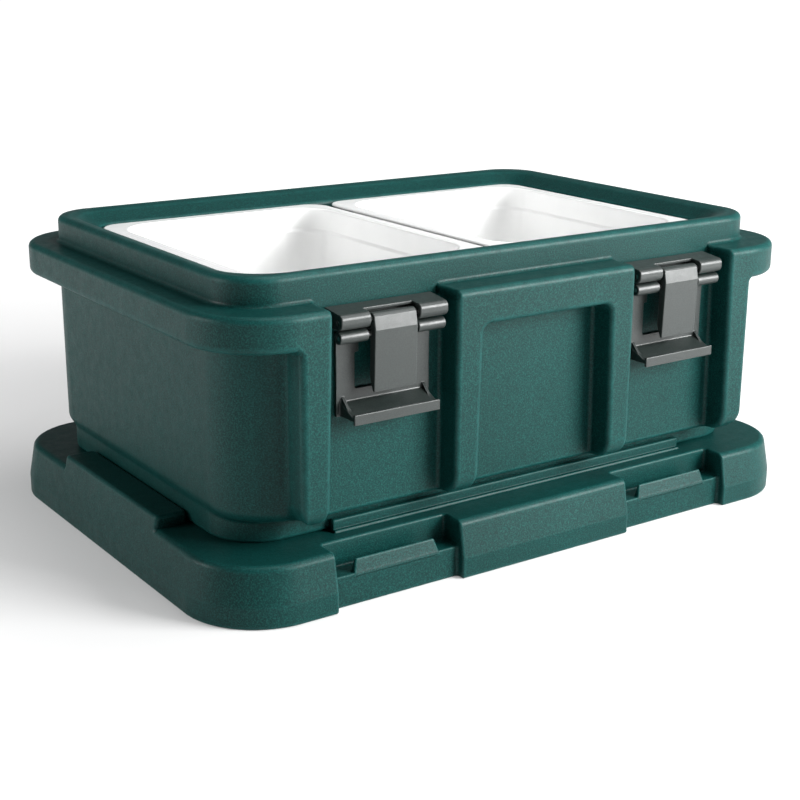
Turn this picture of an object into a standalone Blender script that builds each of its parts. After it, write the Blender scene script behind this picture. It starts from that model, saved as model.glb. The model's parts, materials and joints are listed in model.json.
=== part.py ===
"""Insulated food carrier, stood on its own lid, with two half-size food pans in its well.

Metres, +Z up.  The origin is the middle of the lid's footprint, on the floor.  +X runs along the
long side and -Y is the front.  The carrier is a double-walled moulded box whose size follows from
the pans: well round the pans, wall round the well, flange round the wall.  The lid is sized from
the flange and the rim that it closes on, and its top carries ribs that the carrier's foot nests in.
Four toggle latches, two on each long side, hang in recesses below the flange.
"""

import math

import bmesh
import bpy
from mathutils import Matrix, Vector

# ---------------------------------------------------------------- driving dimensions: food pans
PAN_LENGTH = 0.325            # across the carrier, over the pan's rim
PAN_WIDTH = 0.265             # along the carrier, over the pan's rim
PAN_DEPTH = 0.150
PAN_WALL = 0.0035
PAN_RIM_THICKNESS = 0.0027
PAN_RIM_OVERHANG = 0.0125     # rim beyond the pan's body
PAN_RIM_RADIUS = 0.024
PAN_BODY_RADIUS = 0.042
PAN_DRAFT = 0.0105            # how much each side pulls in over the depth
PAN_FLOOR_ROUND = 0.007
PAN_GAP = 0.008               # between the two pans

# ---------------------------------------------------------------- driving dimensions: carrier
WELL_CLEARANCE = 0.003        # pan body to well wall, and pan rim to the rim's inner edge
WELL_FLOOR_CLEARANCE = 0.004
WELL_DRAFT = 0.006
WELL_CORNER_MARGIN = 0.006    # well corner's radius below the pan's
FLOOR_THICKNESS = 0.0734      # well floor down to the foot
END_WALL_THICKNESS = 0.0505   # across the short ends
SIDE_WALL_THICKNESS = 0.0575  # across the long sides
SKIN = 0.005                  # moulded plastic skin round the foam
WALL_RADIUS = 0.060
WALL_BOTTOM_ROUND = 0.012

RIM_HEIGHT = 0.0265           # rim above the flange
RIM_LEDGE_DEPTH = 0.0158      # crest down to the ledge that the pans hang on
RIM_END_SETBACK = 0.002       # rim's outer face inside the wall's outer face, at the ends
RIM_SIDE_SETBACK = 0.008      # the same, along the sides
RIM_RADIUS = 0.046
RIM_ROUND = 0.006
RIM_CREST = 0.006             # flat width of the crest
RIM_LIP = 0.003               # upright step round the pans, above the ledge

FLANGE_THICKNESS = 0.032
FLANGE_END_OVERHANG = 0.025   # hand grip at each short end
FLANGE_SIDE_OVERHANG = 0.0263
FLANGE_RADIUS = 0.070
FLANGE_ROUND = 0.006

FOOT_HEIGHT = 0.0217
FOOT_END_SETBACK = 0.0025     # foot's side inside the wall's outer face, at the ends
FOOT_SIDE_SETBACK = 0.020     # the same, along the sides
FOOT_RADIUS = 0.050
FOOT_ROUND = 0.004

FRAME_BAR = 0.029             # width of the centre frame's bars
FRAME_TOP_BAR = 0.002         # window's top edge below the flange
FRAME_DRAFT = 0.004           # how much wider the window is at the foot
POST_DRAFT = 0.006            # how much wider each latch recess is at the foot
POST_EDGE = 0.008
POST_BOTTOM_ROUND = 0.020
POST_BOTTOM_SETBACK = 0.012
WALL_BOTTOM_SETBACK = 0.009
RECESS_EXTRA_DEPTH = 0.0005   # recess cut this far into the wall's own face

FILL_PORT_RADIUS = 0.0125
FILL_PORT_SPACING = 0.300

# ---------------------------------------------------------------- driving dimensions: lid
LID_HEIGHT = 0.055
LID_END_OVERHANG = 0.013      # beyond the flange at the ends
LID_SIDE_OVERHANG = 0.0092    # beyond the flange at the sides
LID_RADIUS = 0.075
LID_CREASE_HEIGHT = 0.020
LID_TAPER = 0.0055            # pull-in from the crease to the top edge
LID_ROUND = 0.005
LID_EDGE_ROUND = 0.0025      # lower edge
LID_RIM_CLEARANCE = 0.003
LID_PAN_CLEARANCE = 0.004
LID_PANEL_SETBACK = 0.010     # panel's edge inside the pans' ledge
LID_RIB_HEIGHT = 0.0115
LID_RIB_WIDTH = 0.0065
LID_RIB_SPAN = 0.425
LID_END_RIB_SPAN = 0.206
LID_RIB_STEP = 0.0005         # end rib's outer face behind the lid's side
FOOT_CLEARANCE = 0.0015       # foot to rib
LID_POCKET_MARGIN = 0.003     # pocket wider than the latch recess, each side
LID_SHELF_HEIGHT = 0.030      # floor of the latch pocket
LID_RIDGE_HEIGHT = 0.012      # catch ridge above the shelf
LID_RIDGE_WIDTH = 0.092
LID_RIDGE_THICKNESS = 0.0065
LID_RIDGE_TOP = 0.0040
LID_GROOVE = 0.0148           # ridge's back to the pocket's back wall

# ---------------------------------------------------------------- driving dimensions: latches
LATCH_END_DISTANCE = 0.166    # flange end to the latch's centre
LATCH_WIDTH = 0.110
LATCH_SIDE_CLEARANCE = 0.009  # latch to the side of its recess
LATCH_SHEET = 0.003
PIVOT_BELOW_FLANGE = 0.0145   # upper pin below the flange's top
PIVOT_TO_WALL = 0.0170        # upper pin out from the recess wall
NOSE_RADIUS = 0.0065
PIN_RADIUS = 0.002
PIN_CLEARANCE = 0.0004
PIN_END_INSET = 0.001
TOGGLE_DROP = 0.0135          # lower pin below the upper pin
TOGGLE_SETBACK = 0.0015       # lower pin nearer to the wall than the upper pin
KNUCKLE_RADIUS = 0.0055
HANDLE_WIDTH = 0.044
HANDLE_SIDE_GAP = 0.0035      # handle to nose and knuckle
HANDLE_BARREL_RADIUS = 0.0058
BARREL_CLEARANCE = 0.0012     # barrel to the bracket's top plate
HANDLE_LUG_RADIUS = 0.0048
HANDLE_LENGTH = 0.064         # below the upper pin
HANDLE_BEND = 0.008           # bend in the front face below the upper pin
HANDLE_FACE = 0.0063          # front face out from the upper pin at the bend
HANDLE_FACE_END = 0.0050      # the same at the handle's tip
HANDLE_SIDE_DEPTH = 0.0075
HANDLE_SIDE_RISE = 0.012      # side wall's deep part starts this far above the tip
BAIL_ARM_WIDTH = 0.0190
BAIL_ARM_INSET = 0.0040       # arm's inner edge outside the knuckle's
BAIL_HEAD = 0.0176            # plate above the window, from the lower pin down
BAIL_WALL_GAP = 0.0007        # bail to the recess wall
BAIL_LENGTH = 0.0865          # upper pin down to the bail's lower edge
BAIL_BAR = 0.0230             # height of the cross bar
BAIL_SHELF_OVERHANG = 0.004   # shelf short of the arm, each side
BAIL_LIP_UP = 0.0065
BAIL_LIP_DOWN = 0.0030
BAIL_GUSSET_DROP = 0.006      # gusset's top below the cross bar's top
BAIL_GUSSET_SETBACK = 0.0075  # gusset's foot behind the lip
BAIL_KNUCKLE_END_INSET = 0.0005
BRACKET_TAB_DROP = 0.0275     # screw tab below the bracket's top
BRACKET_BACK_DROP = 0.0135    # back plate below the bracket's top, behind the noses
SCREW_SPACING = 0.024
SCREW_DROP = 0.0135           # screws below the bracket's top
SCREW_RADIUS = 0.0016
SCREW_LENGTH = 0.0125
SCREW_HEAD_RADIUS = 0.0034
SCREW_HEAD_HEIGHT = 0.0020
SCREW_CLEARANCE = 0.0004
INSERT_WALL = 0.0009
INSERT_LENGTH = 0.012
BOSS_WALL = 0.0030

GAP = 0.0003                  # air gap between faces that touch
OVERLAP = 0.001               # how far joined solids reach into each other
HAIR = 0.0001                 # keeps two joined faces from lying in one plane
CUT_REACH = 0.010             # how far a cutter reaches past what it cuts
BORE_REACH = 0.002            # the same for pin and screw bores
KNEE = 0.3                    # middle of a two-step round, as a share of its radius
BLOCK_DROP = 0.120            # how deep the rim's block reaches into the wall's block
BLOCK_RISE = 0.040            # how far the foot's block reaches up into it
CORNER_STEPS = 6
ROUND_STEPS = 16
PIN_STEPS = 12
SCREW_STEPS = 10

# ---------------------------------------------------------------- sizes that follow
PAN_HALF_X = PAN_WIDTH + PAN_GAP / 2
PAN_HALF_Y = PAN_LENGTH / 2
LEDGE_HALF = (PAN_HALF_X + WELL_CLEARANCE, PAN_HALF_Y + WELL_CLEARANCE)
WELL_HALF = (
    PAN_HALF_X - PAN_RIM_OVERHANG + WELL_CLEARANCE,
    PAN_HALF_Y - PAN_RIM_OVERHANG + WELL_CLEARANCE,
)
WALL_HALF = (WELL_HALF[0] + END_WALL_THICKNESS, WELL_HALF[1] + SIDE_WALL_THICKNESS)
FLANGE_HALF = (WALL_HALF[0] + FLANGE_END_OVERHANG, WALL_HALF[1] + FLANGE_SIDE_OVERHANG)
RIM_HALF = (WALL_HALF[0] - RIM_END_SETBACK, WALL_HALF[1] - RIM_SIDE_SETBACK)
FOOT_HALF = (WALL_HALF[0] - FOOT_END_SETBACK, WALL_HALF[1] - FOOT_SIDE_SETBACK)
LID_HALF = (FLANGE_HALF[0] + LID_END_OVERHANG, FLANGE_HALF[1] + LID_SIDE_OVERHANG)

FOOT_Z = LID_HEIGHT + GAP
WALL_Z = FOOT_Z + FOOT_HEIGHT
WELL_FLOOR_Z = FOOT_Z + FLOOR_THICKNESS
PAN_BOTTOM_Z = WELL_FLOOR_Z + WELL_FLOOR_CLEARANCE
PAN_TOP_Z = PAN_BOTTOM_Z + PAN_DEPTH
LEDGE_Z = PAN_TOP_Z - PAN_RIM_THICKNESS - GAP
RIM_TOP_Z = LEDGE_Z + RIM_LEDGE_DEPTH
FLANGE_TOP_Z = RIM_TOP_Z - RIM_HEIGHT
FLANGE_Z = FLANGE_TOP_Z - FLANGE_THICKNESS

LATCH_X = FLANGE_HALF[0] - LATCH_END_DISTANCE
RECESS_HALF = LATCH_WIDTH / 2 + LATCH_SIDE_CLEARANCE
RECESS_Y = WALL_HALF[1] - RECESS_EXTRA_DEPTH
POST_HALF_X = FLANGE_HALF[0] - FLANGE_RADIUS
PIVOT_Y = -(RECESS_Y + PIVOT_TO_WALL)
PIVOT_Z = FLANGE_TOP_Z - PIVOT_BELOW_FLANGE
BORE_RADIUS = PIN_RADIUS + PIN_CLEARANCE
INSERT_BORE_RADIUS = SCREW_RADIUS + SCREW_CLEARANCE
INSERT_RADIUS = INSERT_BORE_RADIUS + INSERT_WALL
BOSS_BORE_RADIUS = INSERT_RADIUS + GAP + HAIR
BOSS_LENGTH = INSERT_LENGTH + BOSS_WALL
SCREW_Z = PIVOT_Z + NOSE_RADIUS - SCREW_DROP
MATERIALS = {
    "carrier_plastic": ((0.015, 0.090, 0.088), 0.48, 0.0),
    "foam": ((0.80, 0.72, 0.50), 0.90, 0.0),
    "pan_plastic": ((0.86, 0.86, 0.84), 0.22, 0.0),
    "latch_nylon": ((0.050, 0.052, 0.055), 0.38, 0.0),
    "pin_steel": ((0.60, 0.60, 0.60), 0.30, 1.0),
    "insert_brass": ((0.72, 0.55, 0.25), 0.35, 1.0),
}


# ---------------------------------------------------------------- basic tools
def clear_scene():
    """Empty the scene that the model is built in."""
    for item in list(bpy.data.objects):
        bpy.data.objects.remove(item, do_unlink=True)


def material(slot):
    """The Principled material of a slot, made once."""
    found = bpy.data.materials.get(slot)
    if found:
        return found
    colour, roughness, metallic = MATERIALS[slot]
    made = bpy.data.materials.new(slot)
    made.use_nodes = True
    shader = made.node_tree.nodes["Principled BSDF"]
    shader.inputs["Base Color"].default_value = (*colour, 1.0)
    shader.inputs["Roughness"].default_value = roughness
    shader.inputs["Metallic"].default_value = metallic
    return made


def new_object(name, mesh):
    """A mesh as an object in the scene."""
    made = bpy.data.objects.new(name, mesh)
    bpy.context.scene.collection.objects.link(made)
    return made


def object_from_bmesh(name, bm):
    """A bmesh as an object, with its faces turned outwards."""
    bmesh.ops.recalc_face_normals(bm, faces=bm.faces)
    mesh = bpy.data.meshes.new(name)
    bm.to_mesh(mesh)
    bm.free()
    return new_object(name, mesh)


def combine(target, others, operation):
    """Join, cut or intersect the target with each other solid, and drop those solids."""
    for other in others:
        modifier = target.modifiers.new(operation, "BOOLEAN")
        modifier.operation = operation
        modifier.object = other
        bpy.context.view_layer.update()
        graph = bpy.context.evaluated_depsgraph_get()
        result = bpy.data.meshes.new_from_object(target.evaluated_get(graph))
        target.modifiers.clear()
        old = target.data
        target.data = result
        bpy.data.meshes.remove(old)
        bpy.data.objects.remove(other, do_unlink=True)
    return target


def finish(item, name, slot, smooth_angle=35.0):
    """Name a finished solid, give it its material and shade its round faces smooth."""
    item.name = name
    item.data.name = name
    item.data.materials.clear()
    item.data.materials.append(material(slot))
    item.data.shade_smooth()
    item.data.set_sharp_from_angle(angle=math.radians(smooth_angle))
    return item


def rounded_outline(half_x, half_y, radius):
    """Points round a rounded rectangle, anticlockwise."""
    corners = ((1, 1), (-1, 1), (-1, -1), (1, -1))
    points = []
    for quarter, (side_x, side_y) in enumerate(corners):
        centre_x = side_x * (half_x - radius)
        centre_y = side_y * (half_y - radius)
        for step in range(CORNER_STEPS + 1):
            angle = (quarter + step / CORNER_STEPS) * math.pi / 2
            points.append((centre_x + radius * math.cos(angle), centre_y + radius * math.sin(angle)))
    return points


def loft(name, rings, centre_x=0.0):
    """A closed solid through rounded rectangles, each (half_x, half_y, radius, z)."""
    bm = bmesh.new()
    loops = []
    for half_x, half_y, radius, z in rings:
        outline = rounded_outline(half_x, half_y, radius)
        loops.append([bm.verts.new((centre_x + x, y, z)) for x, y in outline])
    for lower, upper in zip(loops, loops[1:]):
        for index, corner in enumerate(lower):
            after = (index + 1) % len(lower)
            bm.faces.new((corner, lower[after], upper[after], upper[index]))
    bm.faces.new(reversed(loops[0]))
    bm.faces.new(loops[-1])
    return object_from_bmesh(name, bm)


def rounded_bottom(z, radius):
    """Profile points of a rounded lower edge at height z."""
    return ((z, radius), (z + radius * KNEE, radius * KNEE), (z + radius, 0.0))


def rounded_top(z, radius, setback=0.0):
    """Profile points of a rounded upper edge at height z."""
    return ((z - radius, setback), (z - radius * KNEE, setback + radius * KNEE), (z, setback + radius))


def block(name, half, radius, profile):
    """A moulded block: profile lists (z, setback) from the bottom to the top."""
    rings = []
    for z, setback in profile:
        ring_radius = max(radius - setback, radius / 8)
        rings.append((half[0] - setback, half[1] - setback, ring_radius, z))
    return loft(name, rings)


def slab(name, outline, low_x, high_x):
    """A solid of constant section along X: outline lists (y, z)."""
    bm = bmesh.new()
    near = [bm.verts.new((low_x, y, z)) for y, z in outline]
    far = [bm.verts.new((high_x, y, z)) for y, z in outline]
    for index in range(len(outline)):
        after = (index + 1) % len(outline)
        bm.faces.new((near[index], near[after], far[after], far[index]))
    bm.faces.new(near)
    bm.faces.new(reversed(far))
    return object_from_bmesh(name, bm)


def wedge(name, low, high, draft_low=0.0, draft_high=0.0):
    """A box from low to high whose X faces move out by the drafts at its bottom."""
    corners = []
    for z, spread in ((low[2], 1.0), (high[2], 0.0)):
        left = low[0] - draft_low * spread
        right = high[0] + draft_high * spread
        corners += [(left, low[1], z), (right, low[1], z), (right, high[1], z), (left, high[1], z)]
    bm = bmesh.new()
    v = [bm.verts.new(corner) for corner in corners]
    for face in ((3, 2, 1, 0), (4, 5, 6, 7), (0, 1, 5, 4), (1, 2, 6, 5), (2, 3, 7, 6), (3, 0, 4, 7)):
        bm.faces.new([v[index] for index in face])
    return object_from_bmesh(name, bm)


def rod(name, radius, start, end, steps=PIN_STEPS):
    """A cylinder from one point to another."""
    start = Vector(start)
    end = Vector(end)
    turn = (end - start).to_track_quat("Z", "Y").to_matrix().to_4x4()
    place = Matrix.Translation((start + end) / 2) @ turn
    bm = bmesh.new()
    bmesh.ops.create_cone(
        bm, cap_ends=True, segments=steps, radius1=radius, radius2=radius,
        depth=(end - start).length, matrix=place,
    )
    return object_from_bmesh(name, bm)


def cross_rod(name, radius, y, z, low_x, high_x, steps=ROUND_STEPS):
    """A cylinder along X."""
    return rod(name, radius, (low_x, y, z), (high_x, y, z), steps)


def both_sides(maker, low_x, high_x):
    """The same solid on the +X and the -X side of a latch, each made by maker(low_x, high_x)."""
    return [maker(low_x, high_x), maker(-high_x, -low_x)]


def copies(source, places):
    """An object for each name and matrix in places, all sharing the drawn solid's mesh."""
    for name, place in places.items():
        new_object(name, source.data).matrix_world = place
    bpy.data.objects.remove(source, do_unlink=True)


# ---------------------------------------------------------------- carrier
def latch_places():
    """Name and matrix of each latch: front latches as drawn, back latches turned half round."""
    places = {}
    for end, side_x in (("left", -1), ("right", 1)):
        places["front_" + end] = Matrix.Translation((side_x * LATCH_X, 0, 0))
        turned = Matrix.Rotation(math.pi, 4, "Z")
        places["back_" + end] = Matrix.Translation((side_x * LATCH_X, 0, 0)) @ turned
    return places


def screw_places(kind="screw"):
    """Name and matrix of each latch screw: it takes the screw drawn at x = z = 0 to its hole."""
    places = {}
    for latch, place in latch_places().items():
        for number, side_x in ((1, -1), (2, 1)):
            hole = Matrix.Translation((side_x * SCREW_SPACING / 2, 0, SCREW_Z))
            places[f"{latch}_{kind}_{number}"] = place @ hole
    return places


def carrier_blocks():
    """The carrier's outer blocks: wall, posts, flange, rim and foot."""
    wall = (
        (WALL_Z, WALL_BOTTOM_SETBACK), (WALL_Z + WALL_BOTTOM_ROUND * KNEE, WALL_BOTTOM_SETBACK / 3),
        (WALL_Z + WALL_BOTTOM_ROUND, 0.0), (FLANGE_TOP_Z - FLANGE_ROUND, 0.0),
    )
    posts = (
        (WALL_Z + OVERLAP, POST_BOTTOM_SETBACK), (WALL_Z + POST_BOTTOM_ROUND * KNEE, POST_BOTTOM_SETBACK / 3),
        (WALL_Z + POST_BOTTOM_ROUND, 0.0), (FLANGE_Z + FLANGE_THICKNESS * 0.45, 0.0),
    )
    flange = rounded_bottom(FLANGE_Z, FLANGE_ROUND) + rounded_top(FLANGE_TOP_Z, FLANGE_ROUND)
    rim = ((LEDGE_Z - BLOCK_DROP, 0.0), *rounded_top(RIM_TOP_Z, RIM_ROUND))
    foot = ((FOOT_Z, FOOT_ROUND), (FOOT_Z + FOOT_ROUND, 0.0), (WALL_Z + BLOCK_RISE, 0.0))
    return [
        block("wall", WALL_HALF, WALL_RADIUS, wall),
        block("posts", (POST_HALF_X, FLANGE_HALF[1]), POST_EDGE, posts),
        block("flange", FLANGE_HALF, FLANGE_RADIUS, flange),
        block("rim", RIM_HALF, RIM_RADIUS, rim),
        block("foot", FOOT_HALF, FOOT_RADIUS, foot),
    ]


def foam_blocks(inset):
    """The same blocks drawn in by inset, with plain edges, for the foam space."""
    wall = ((WALL_Z + inset, inset), (FLANGE_TOP_Z - inset - BORE_REACH, inset))
    posts = (
        (WALL_Z + inset + OVERLAP, POST_BOTTOM_SETBACK + inset),
        (WALL_Z + POST_BOTTOM_ROUND, inset), (FLANGE_Z + FLANGE_THICKNESS * 0.4, inset),
    )
    flange = ((FLANGE_Z + inset, inset), (FLANGE_TOP_Z - inset, inset))
    rim = (
        (LEDGE_Z - BLOCK_DROP, inset), (RIM_TOP_Z - RIM_ROUND - inset, inset),
        (RIM_TOP_Z - inset, inset + RIM_ROUND / 2),
    )
    foot = ((FOOT_Z + inset, inset), (WALL_Z + BLOCK_RISE, inset))
    return [
        block("wall", WALL_HALF, WALL_RADIUS, wall),
        block("posts", (POST_HALF_X, FLANGE_HALF[1]), POST_EDGE + inset, posts),
        block("flange", FLANGE_HALF, FLANGE_RADIUS, flange),
        block("rim", RIM_HALF, RIM_RADIUS, rim),
        block("foot", FOOT_HALF, FOOT_RADIUS, foot),
    ]


def front_cuts(inset):
    """The latch recesses and the centre windows of both long sides, grown by inset."""
    low_z = FOOT_Z - CUT_REACH
    top_z = RIM_TOP_Z + CUT_REACH
    depth = RECESS_Y - inset
    reach = FLANGE_HALF[1] + CUT_REACH
    frame_half = LATCH_X - RECESS_HALF
    window_half = frame_half - FRAME_BAR
    window_top = FLANGE_Z - FRAME_TOP_BAR + inset
    cuts = []
    for side_y in (-1, 1):
        y = sorted((side_y * depth, side_y * reach))
        low = (-window_half - inset, y[0], low_z)
        high = (window_half + inset, y[1], window_top)
        cuts.append(wedge("window", low, high, FRAME_DRAFT, FRAME_DRAFT))
        for side_x in (-1, 1):
            x = sorted((side_x * (frame_half - inset), side_x * (LATCH_X + RECESS_HALF + inset)))
            drafts = (0.0, POST_DRAFT) if side_x > 0 else (POST_DRAFT, 0.0)
            cuts.append(wedge("recess", (x[0], y[0], low_z), (x[1], y[1], top_z), *drafts))
    return cuts


def well_cuts(inset):
    """The pan well and the sloping mouth inside the rim, grown by inset."""
    slope = RIM_HALF[0] - RIM_ROUND - RIM_CREST - LEDGE_HALF[0]
    lip_z = LEDGE_Z + RIM_LIP
    rise = RIM_TOP_Z - lip_z
    ledge_radius = PAN_RIM_RADIUS + WELL_CLEARANCE / 2
    mouth = loft("mouth", [
        (LEDGE_HALF[0] + inset + out, LEDGE_HALF[1] + inset + out, ledge_radius + inset + out * 0.6, z)
        for z, out in (
            (LEDGE_Z - inset, 0.0),
            (lip_z - inset, 0.0),
            (RIM_TOP_Z + CUT_REACH - inset, slope * (rise + CUT_REACH) / rise),
        )
    ])
    well_radius = PAN_BODY_RADIUS - WELL_CORNER_MARGIN
    well = loft("well", [
        (WELL_HALF[0] + inset - draft, WELL_HALF[1] + inset - draft, well_radius + inset, z)
        for z, draft in ((WELL_FLOOR_Z - inset, WELL_DRAFT), (LEDGE_Z + RIM_LIP / 2, 0.0))
    ])
    return [mouth, well]


def boss_cuts(grow):
    """The screw bosses behind the latches, kept free of foam."""
    radius = BOSS_BORE_RADIUS + BOSS_WALL + grow
    start = -RECESS_Y - BORE_REACH
    end = -RECESS_Y + BOSS_LENGTH + SKIN + grow
    bosses = []
    for place in screw_places().values():
        bosses.append(rod("boss", radius, place @ Vector((0, start, 0)), place @ Vector((0, end, 0))))
    return bosses


def carrier_form(inset):
    """The carrier's solid form, drawn in by inset on every side; bosses are left out of it."""
    blocks = foam_blocks(inset) if inset else carrier_blocks()
    form = combine(blocks[0], blocks[1:], "UNION")
    combine(form, front_cuts(inset) + well_cuts(inset), "DIFFERENCE")
    if inset:
        combine(form, boss_cuts(inset - SKIN), "DIFFERENCE")
    return form


def fill_ports(z):
    """Round foam fill ports through the skin above height z, one towards each end."""
    ports = []
    for side_x in (-1, 1):
        x = side_x * FILL_PORT_SPACING / 2
        ports.append(rod("port", FILL_PORT_RADIUS, (x, 0, z - SKIN), (x, 0, z + SKIN + OVERLAP), ROUND_STEPS))
    return ports


def fill_plugs(name, z):
    """The disc plugs that close the fill ports in the skin above height z."""
    plug = rod(name, FILL_PORT_RADIUS - GAP, (0, 0, z + GAP), (0, 0, z + SKIN - GAP), ROUND_STEPS)
    finish(plug, name, "carrier_plastic")
    copies(plug, {
        f"{name}_{end}": Matrix.Translation((side_x * FILL_PORT_SPACING / 2, 0, 0))
        for end, side_x in (("left", -1), ("right", 1))
    })


def make_carrier():
    """Double-walled shell, its foam, the plugs of its fill ports and its threaded inserts."""
    shell = carrier_form(0.0)
    combine(shell, [carrier_form(SKIN)], "DIFFERENCE")
    ports = fill_ports(FOOT_Z)
    bores = []
    for place in screw_places().values():
        start = place @ Vector((0, -RECESS_Y - BORE_REACH, 0))
        end = place @ Vector((0, -RECESS_Y + INSERT_LENGTH + 2 * GAP, 0))
        bores.append(rod("insert_bore", BOSS_BORE_RADIUS, start, end))
    combine(shell, ports + bores, "DIFFERENCE")
    finish(shell, "body_shell", "carrier_plastic")
    finish(carrier_form(SKIN + GAP), "body_foam", "foam")
    fill_plugs("body_fill_plug", FOOT_Z)

    near_y = -RECESS_Y + GAP
    far_y = -RECESS_Y + INSERT_LENGTH
    insert = rod("insert", INSERT_RADIUS, (0, near_y, 0), (0, far_y, 0), SCREW_STEPS)
    thread = rod("thread", INSERT_BORE_RADIUS, (0, near_y - OVERLAP, 0), (0, far_y + OVERLAP, 0), SCREW_STEPS)
    combine(insert, [thread], "DIFFERENCE")
    copies(finish(insert, "insert", "insert_brass"), screw_places("insert"))


# ---------------------------------------------------------------- lid
def pocket_places():
    """Matrices of the lid's latch pockets, above the latches of the carrier."""
    return list(latch_places().values())


def placed(item, place):
    """Move a solid's mesh by a matrix."""
    item.data.transform(place)
    return item


def pocket_cuts(inset):
    """The stepped latch pockets in the lid's long sides, grown by inset."""
    half = RECESS_HALF + LID_POCKET_MARGIN + inset
    face_y = -FLANGE_HALF[1] + inset
    back_y = -FLANGE_HALF[1] + LID_RIDGE_THICKNESS + LID_GROOVE + inset
    out_y = -LID_HALF[1] - CUT_REACH
    low_z = -CUT_REACH
    high_z = LID_HEIGHT + LID_RIB_HEIGHT + CUT_REACH
    outline = (
        (out_y, low_z), (face_y, low_z), (face_y, LID_SHELF_HEIGHT - inset),
        (back_y, LID_SHELF_HEIGHT - inset), (back_y, high_z), (out_y, high_z),
    )
    return [placed(slab("pocket", outline, -half, half), place) for place in pocket_places()]


def catch_ridges():
    """The ridges that the bails hook over, one in each pocket."""
    front_y = -FLANGE_HALF[1] + GAP
    back_y = -FLANGE_HALF[1] + LID_RIDGE_THICKNESS
    middle_y = (front_y + back_y) / 2
    crest_z = LID_SHELF_HEIGHT + LID_RIDGE_HEIGHT
    root_z = LID_SHELF_HEIGHT - OVERLAP
    outline = (
        (front_y, root_z), (back_y, root_z),
        (middle_y + LID_RIDGE_TOP / 2, crest_z), (middle_y - LID_RIDGE_TOP / 2, crest_z),
    )
    half = LID_RIDGE_WIDTH / 2
    return [placed(slab("ridge", outline, -half, half), place) for place in pocket_places()]


def lid_side_setback(z):
    """How far the lid's side leans in at a height above the crease."""
    return LID_TAPER * (z - LID_CREASE_HEIGHT) / (LID_HEIGHT - LID_ROUND - LID_CREASE_HEIGHT)


def lid_ribs(inset):
    """Ribs that hold the carrier's foot: long ones on the sides, wide ones flush with the ends."""
    top_z = LID_HEIGHT + LID_RIB_HEIGHT - inset
    low_z = LID_HEIGHT - LID_RIB_HEIGHT
    ribs = []
    inner_x = FOOT_HALF[0] + FOOT_CLEARANCE + inset
    outer_x = LID_HALF[0] - LID_RIB_STEP - inset
    for side_x in (-1, 1):
        outline = (
            (inner_x, low_z), (outer_x - lid_side_setback(low_z), low_z),
            (outer_x - lid_side_setback(top_z), top_z), (inner_x, top_z),
        )
        rib = slab("end_rib", outline, -LID_END_RIB_SPAN / 2 + inset, LID_END_RIB_SPAN / 2 - inset)
        ribs.append(placed(rib, Matrix.Rotation(-side_x * math.pi / 2, 4, "Z")))
    if inset:
        return ribs
    for side_y in (-1, 1):
        inner_y = FOOT_HALF[1] + FOOT_CLEARANCE
        y = sorted((side_y * inner_y, side_y * (inner_y + LID_RIB_WIDTH)))
        low = (-LID_RIB_SPAN / 2, y[0], low_z)
        high = (LID_RIB_SPAN / 2, y[1], top_z)
        ribs.append(wedge("side_rib", low, high))
    return ribs


def lid_form(inset):
    """The lid's solid form, drawn in by inset on every side."""
    if inset:
        sides = (
            (inset, inset), (LID_CREASE_HEIGHT, inset), (LID_HEIGHT - inset, inset + LID_TAPER),
        )
    else:
        sides = (
            (0.0, LID_EDGE_ROUND), (LID_EDGE_ROUND, 0.0), (LID_CREASE_HEIGHT, 0.0),
            *rounded_top(LID_HEIGHT, LID_ROUND, LID_TAPER),
        )
    form = block("lid", LID_HALF, LID_RADIUS, sides)
    channel_half = (RIM_HALF[0] + LID_RIM_CLEARANCE + inset, RIM_HALF[1] + LID_RIM_CLEARANCE + inset)
    channel_z = RIM_HEIGHT + LID_RIM_CLEARANCE + inset
    channel = block("channel", channel_half, RIM_RADIUS + inset, ((-CUT_REACH, 0.0), (channel_z, 0.0)))
    combine(form, [channel] + pocket_cuts(inset), "DIFFERENCE")
    panel_z = PAN_TOP_Z - FLANGE_TOP_Z + LID_PAN_CLEARANCE + inset
    panel_half = (LEDGE_HALF[0] - LID_PANEL_SETBACK, LEDGE_HALF[1] - LID_PANEL_SETBACK)
    panel_top = (channel_z + LID_HEIGHT - inset) / 2
    panel = block("panel", panel_half, PAN_BODY_RADIUS, ((panel_z, inset), (panel_top, inset)))
    combine(form, [panel] + lid_ribs(inset), "UNION")
    if not inset:
        combine(form, catch_ridges(), "UNION")
    return form


def make_lid():
    """Double-walled lid shell, its foam and the plugs of its fill ports."""
    panel_z = PAN_TOP_Z - FLANGE_TOP_Z + LID_PAN_CLEARANCE
    shell = lid_form(0.0)
    combine(shell, [lid_form(SKIN)], "DIFFERENCE")
    combine(shell, fill_ports(panel_z), "DIFFERENCE")
    finish(shell, "lid_shell", "carrier_plastic")
    finish(lid_form(SKIN + GAP), "lid_foam", "foam")
    fill_plugs("lid_fill_plug", panel_z)


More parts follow.
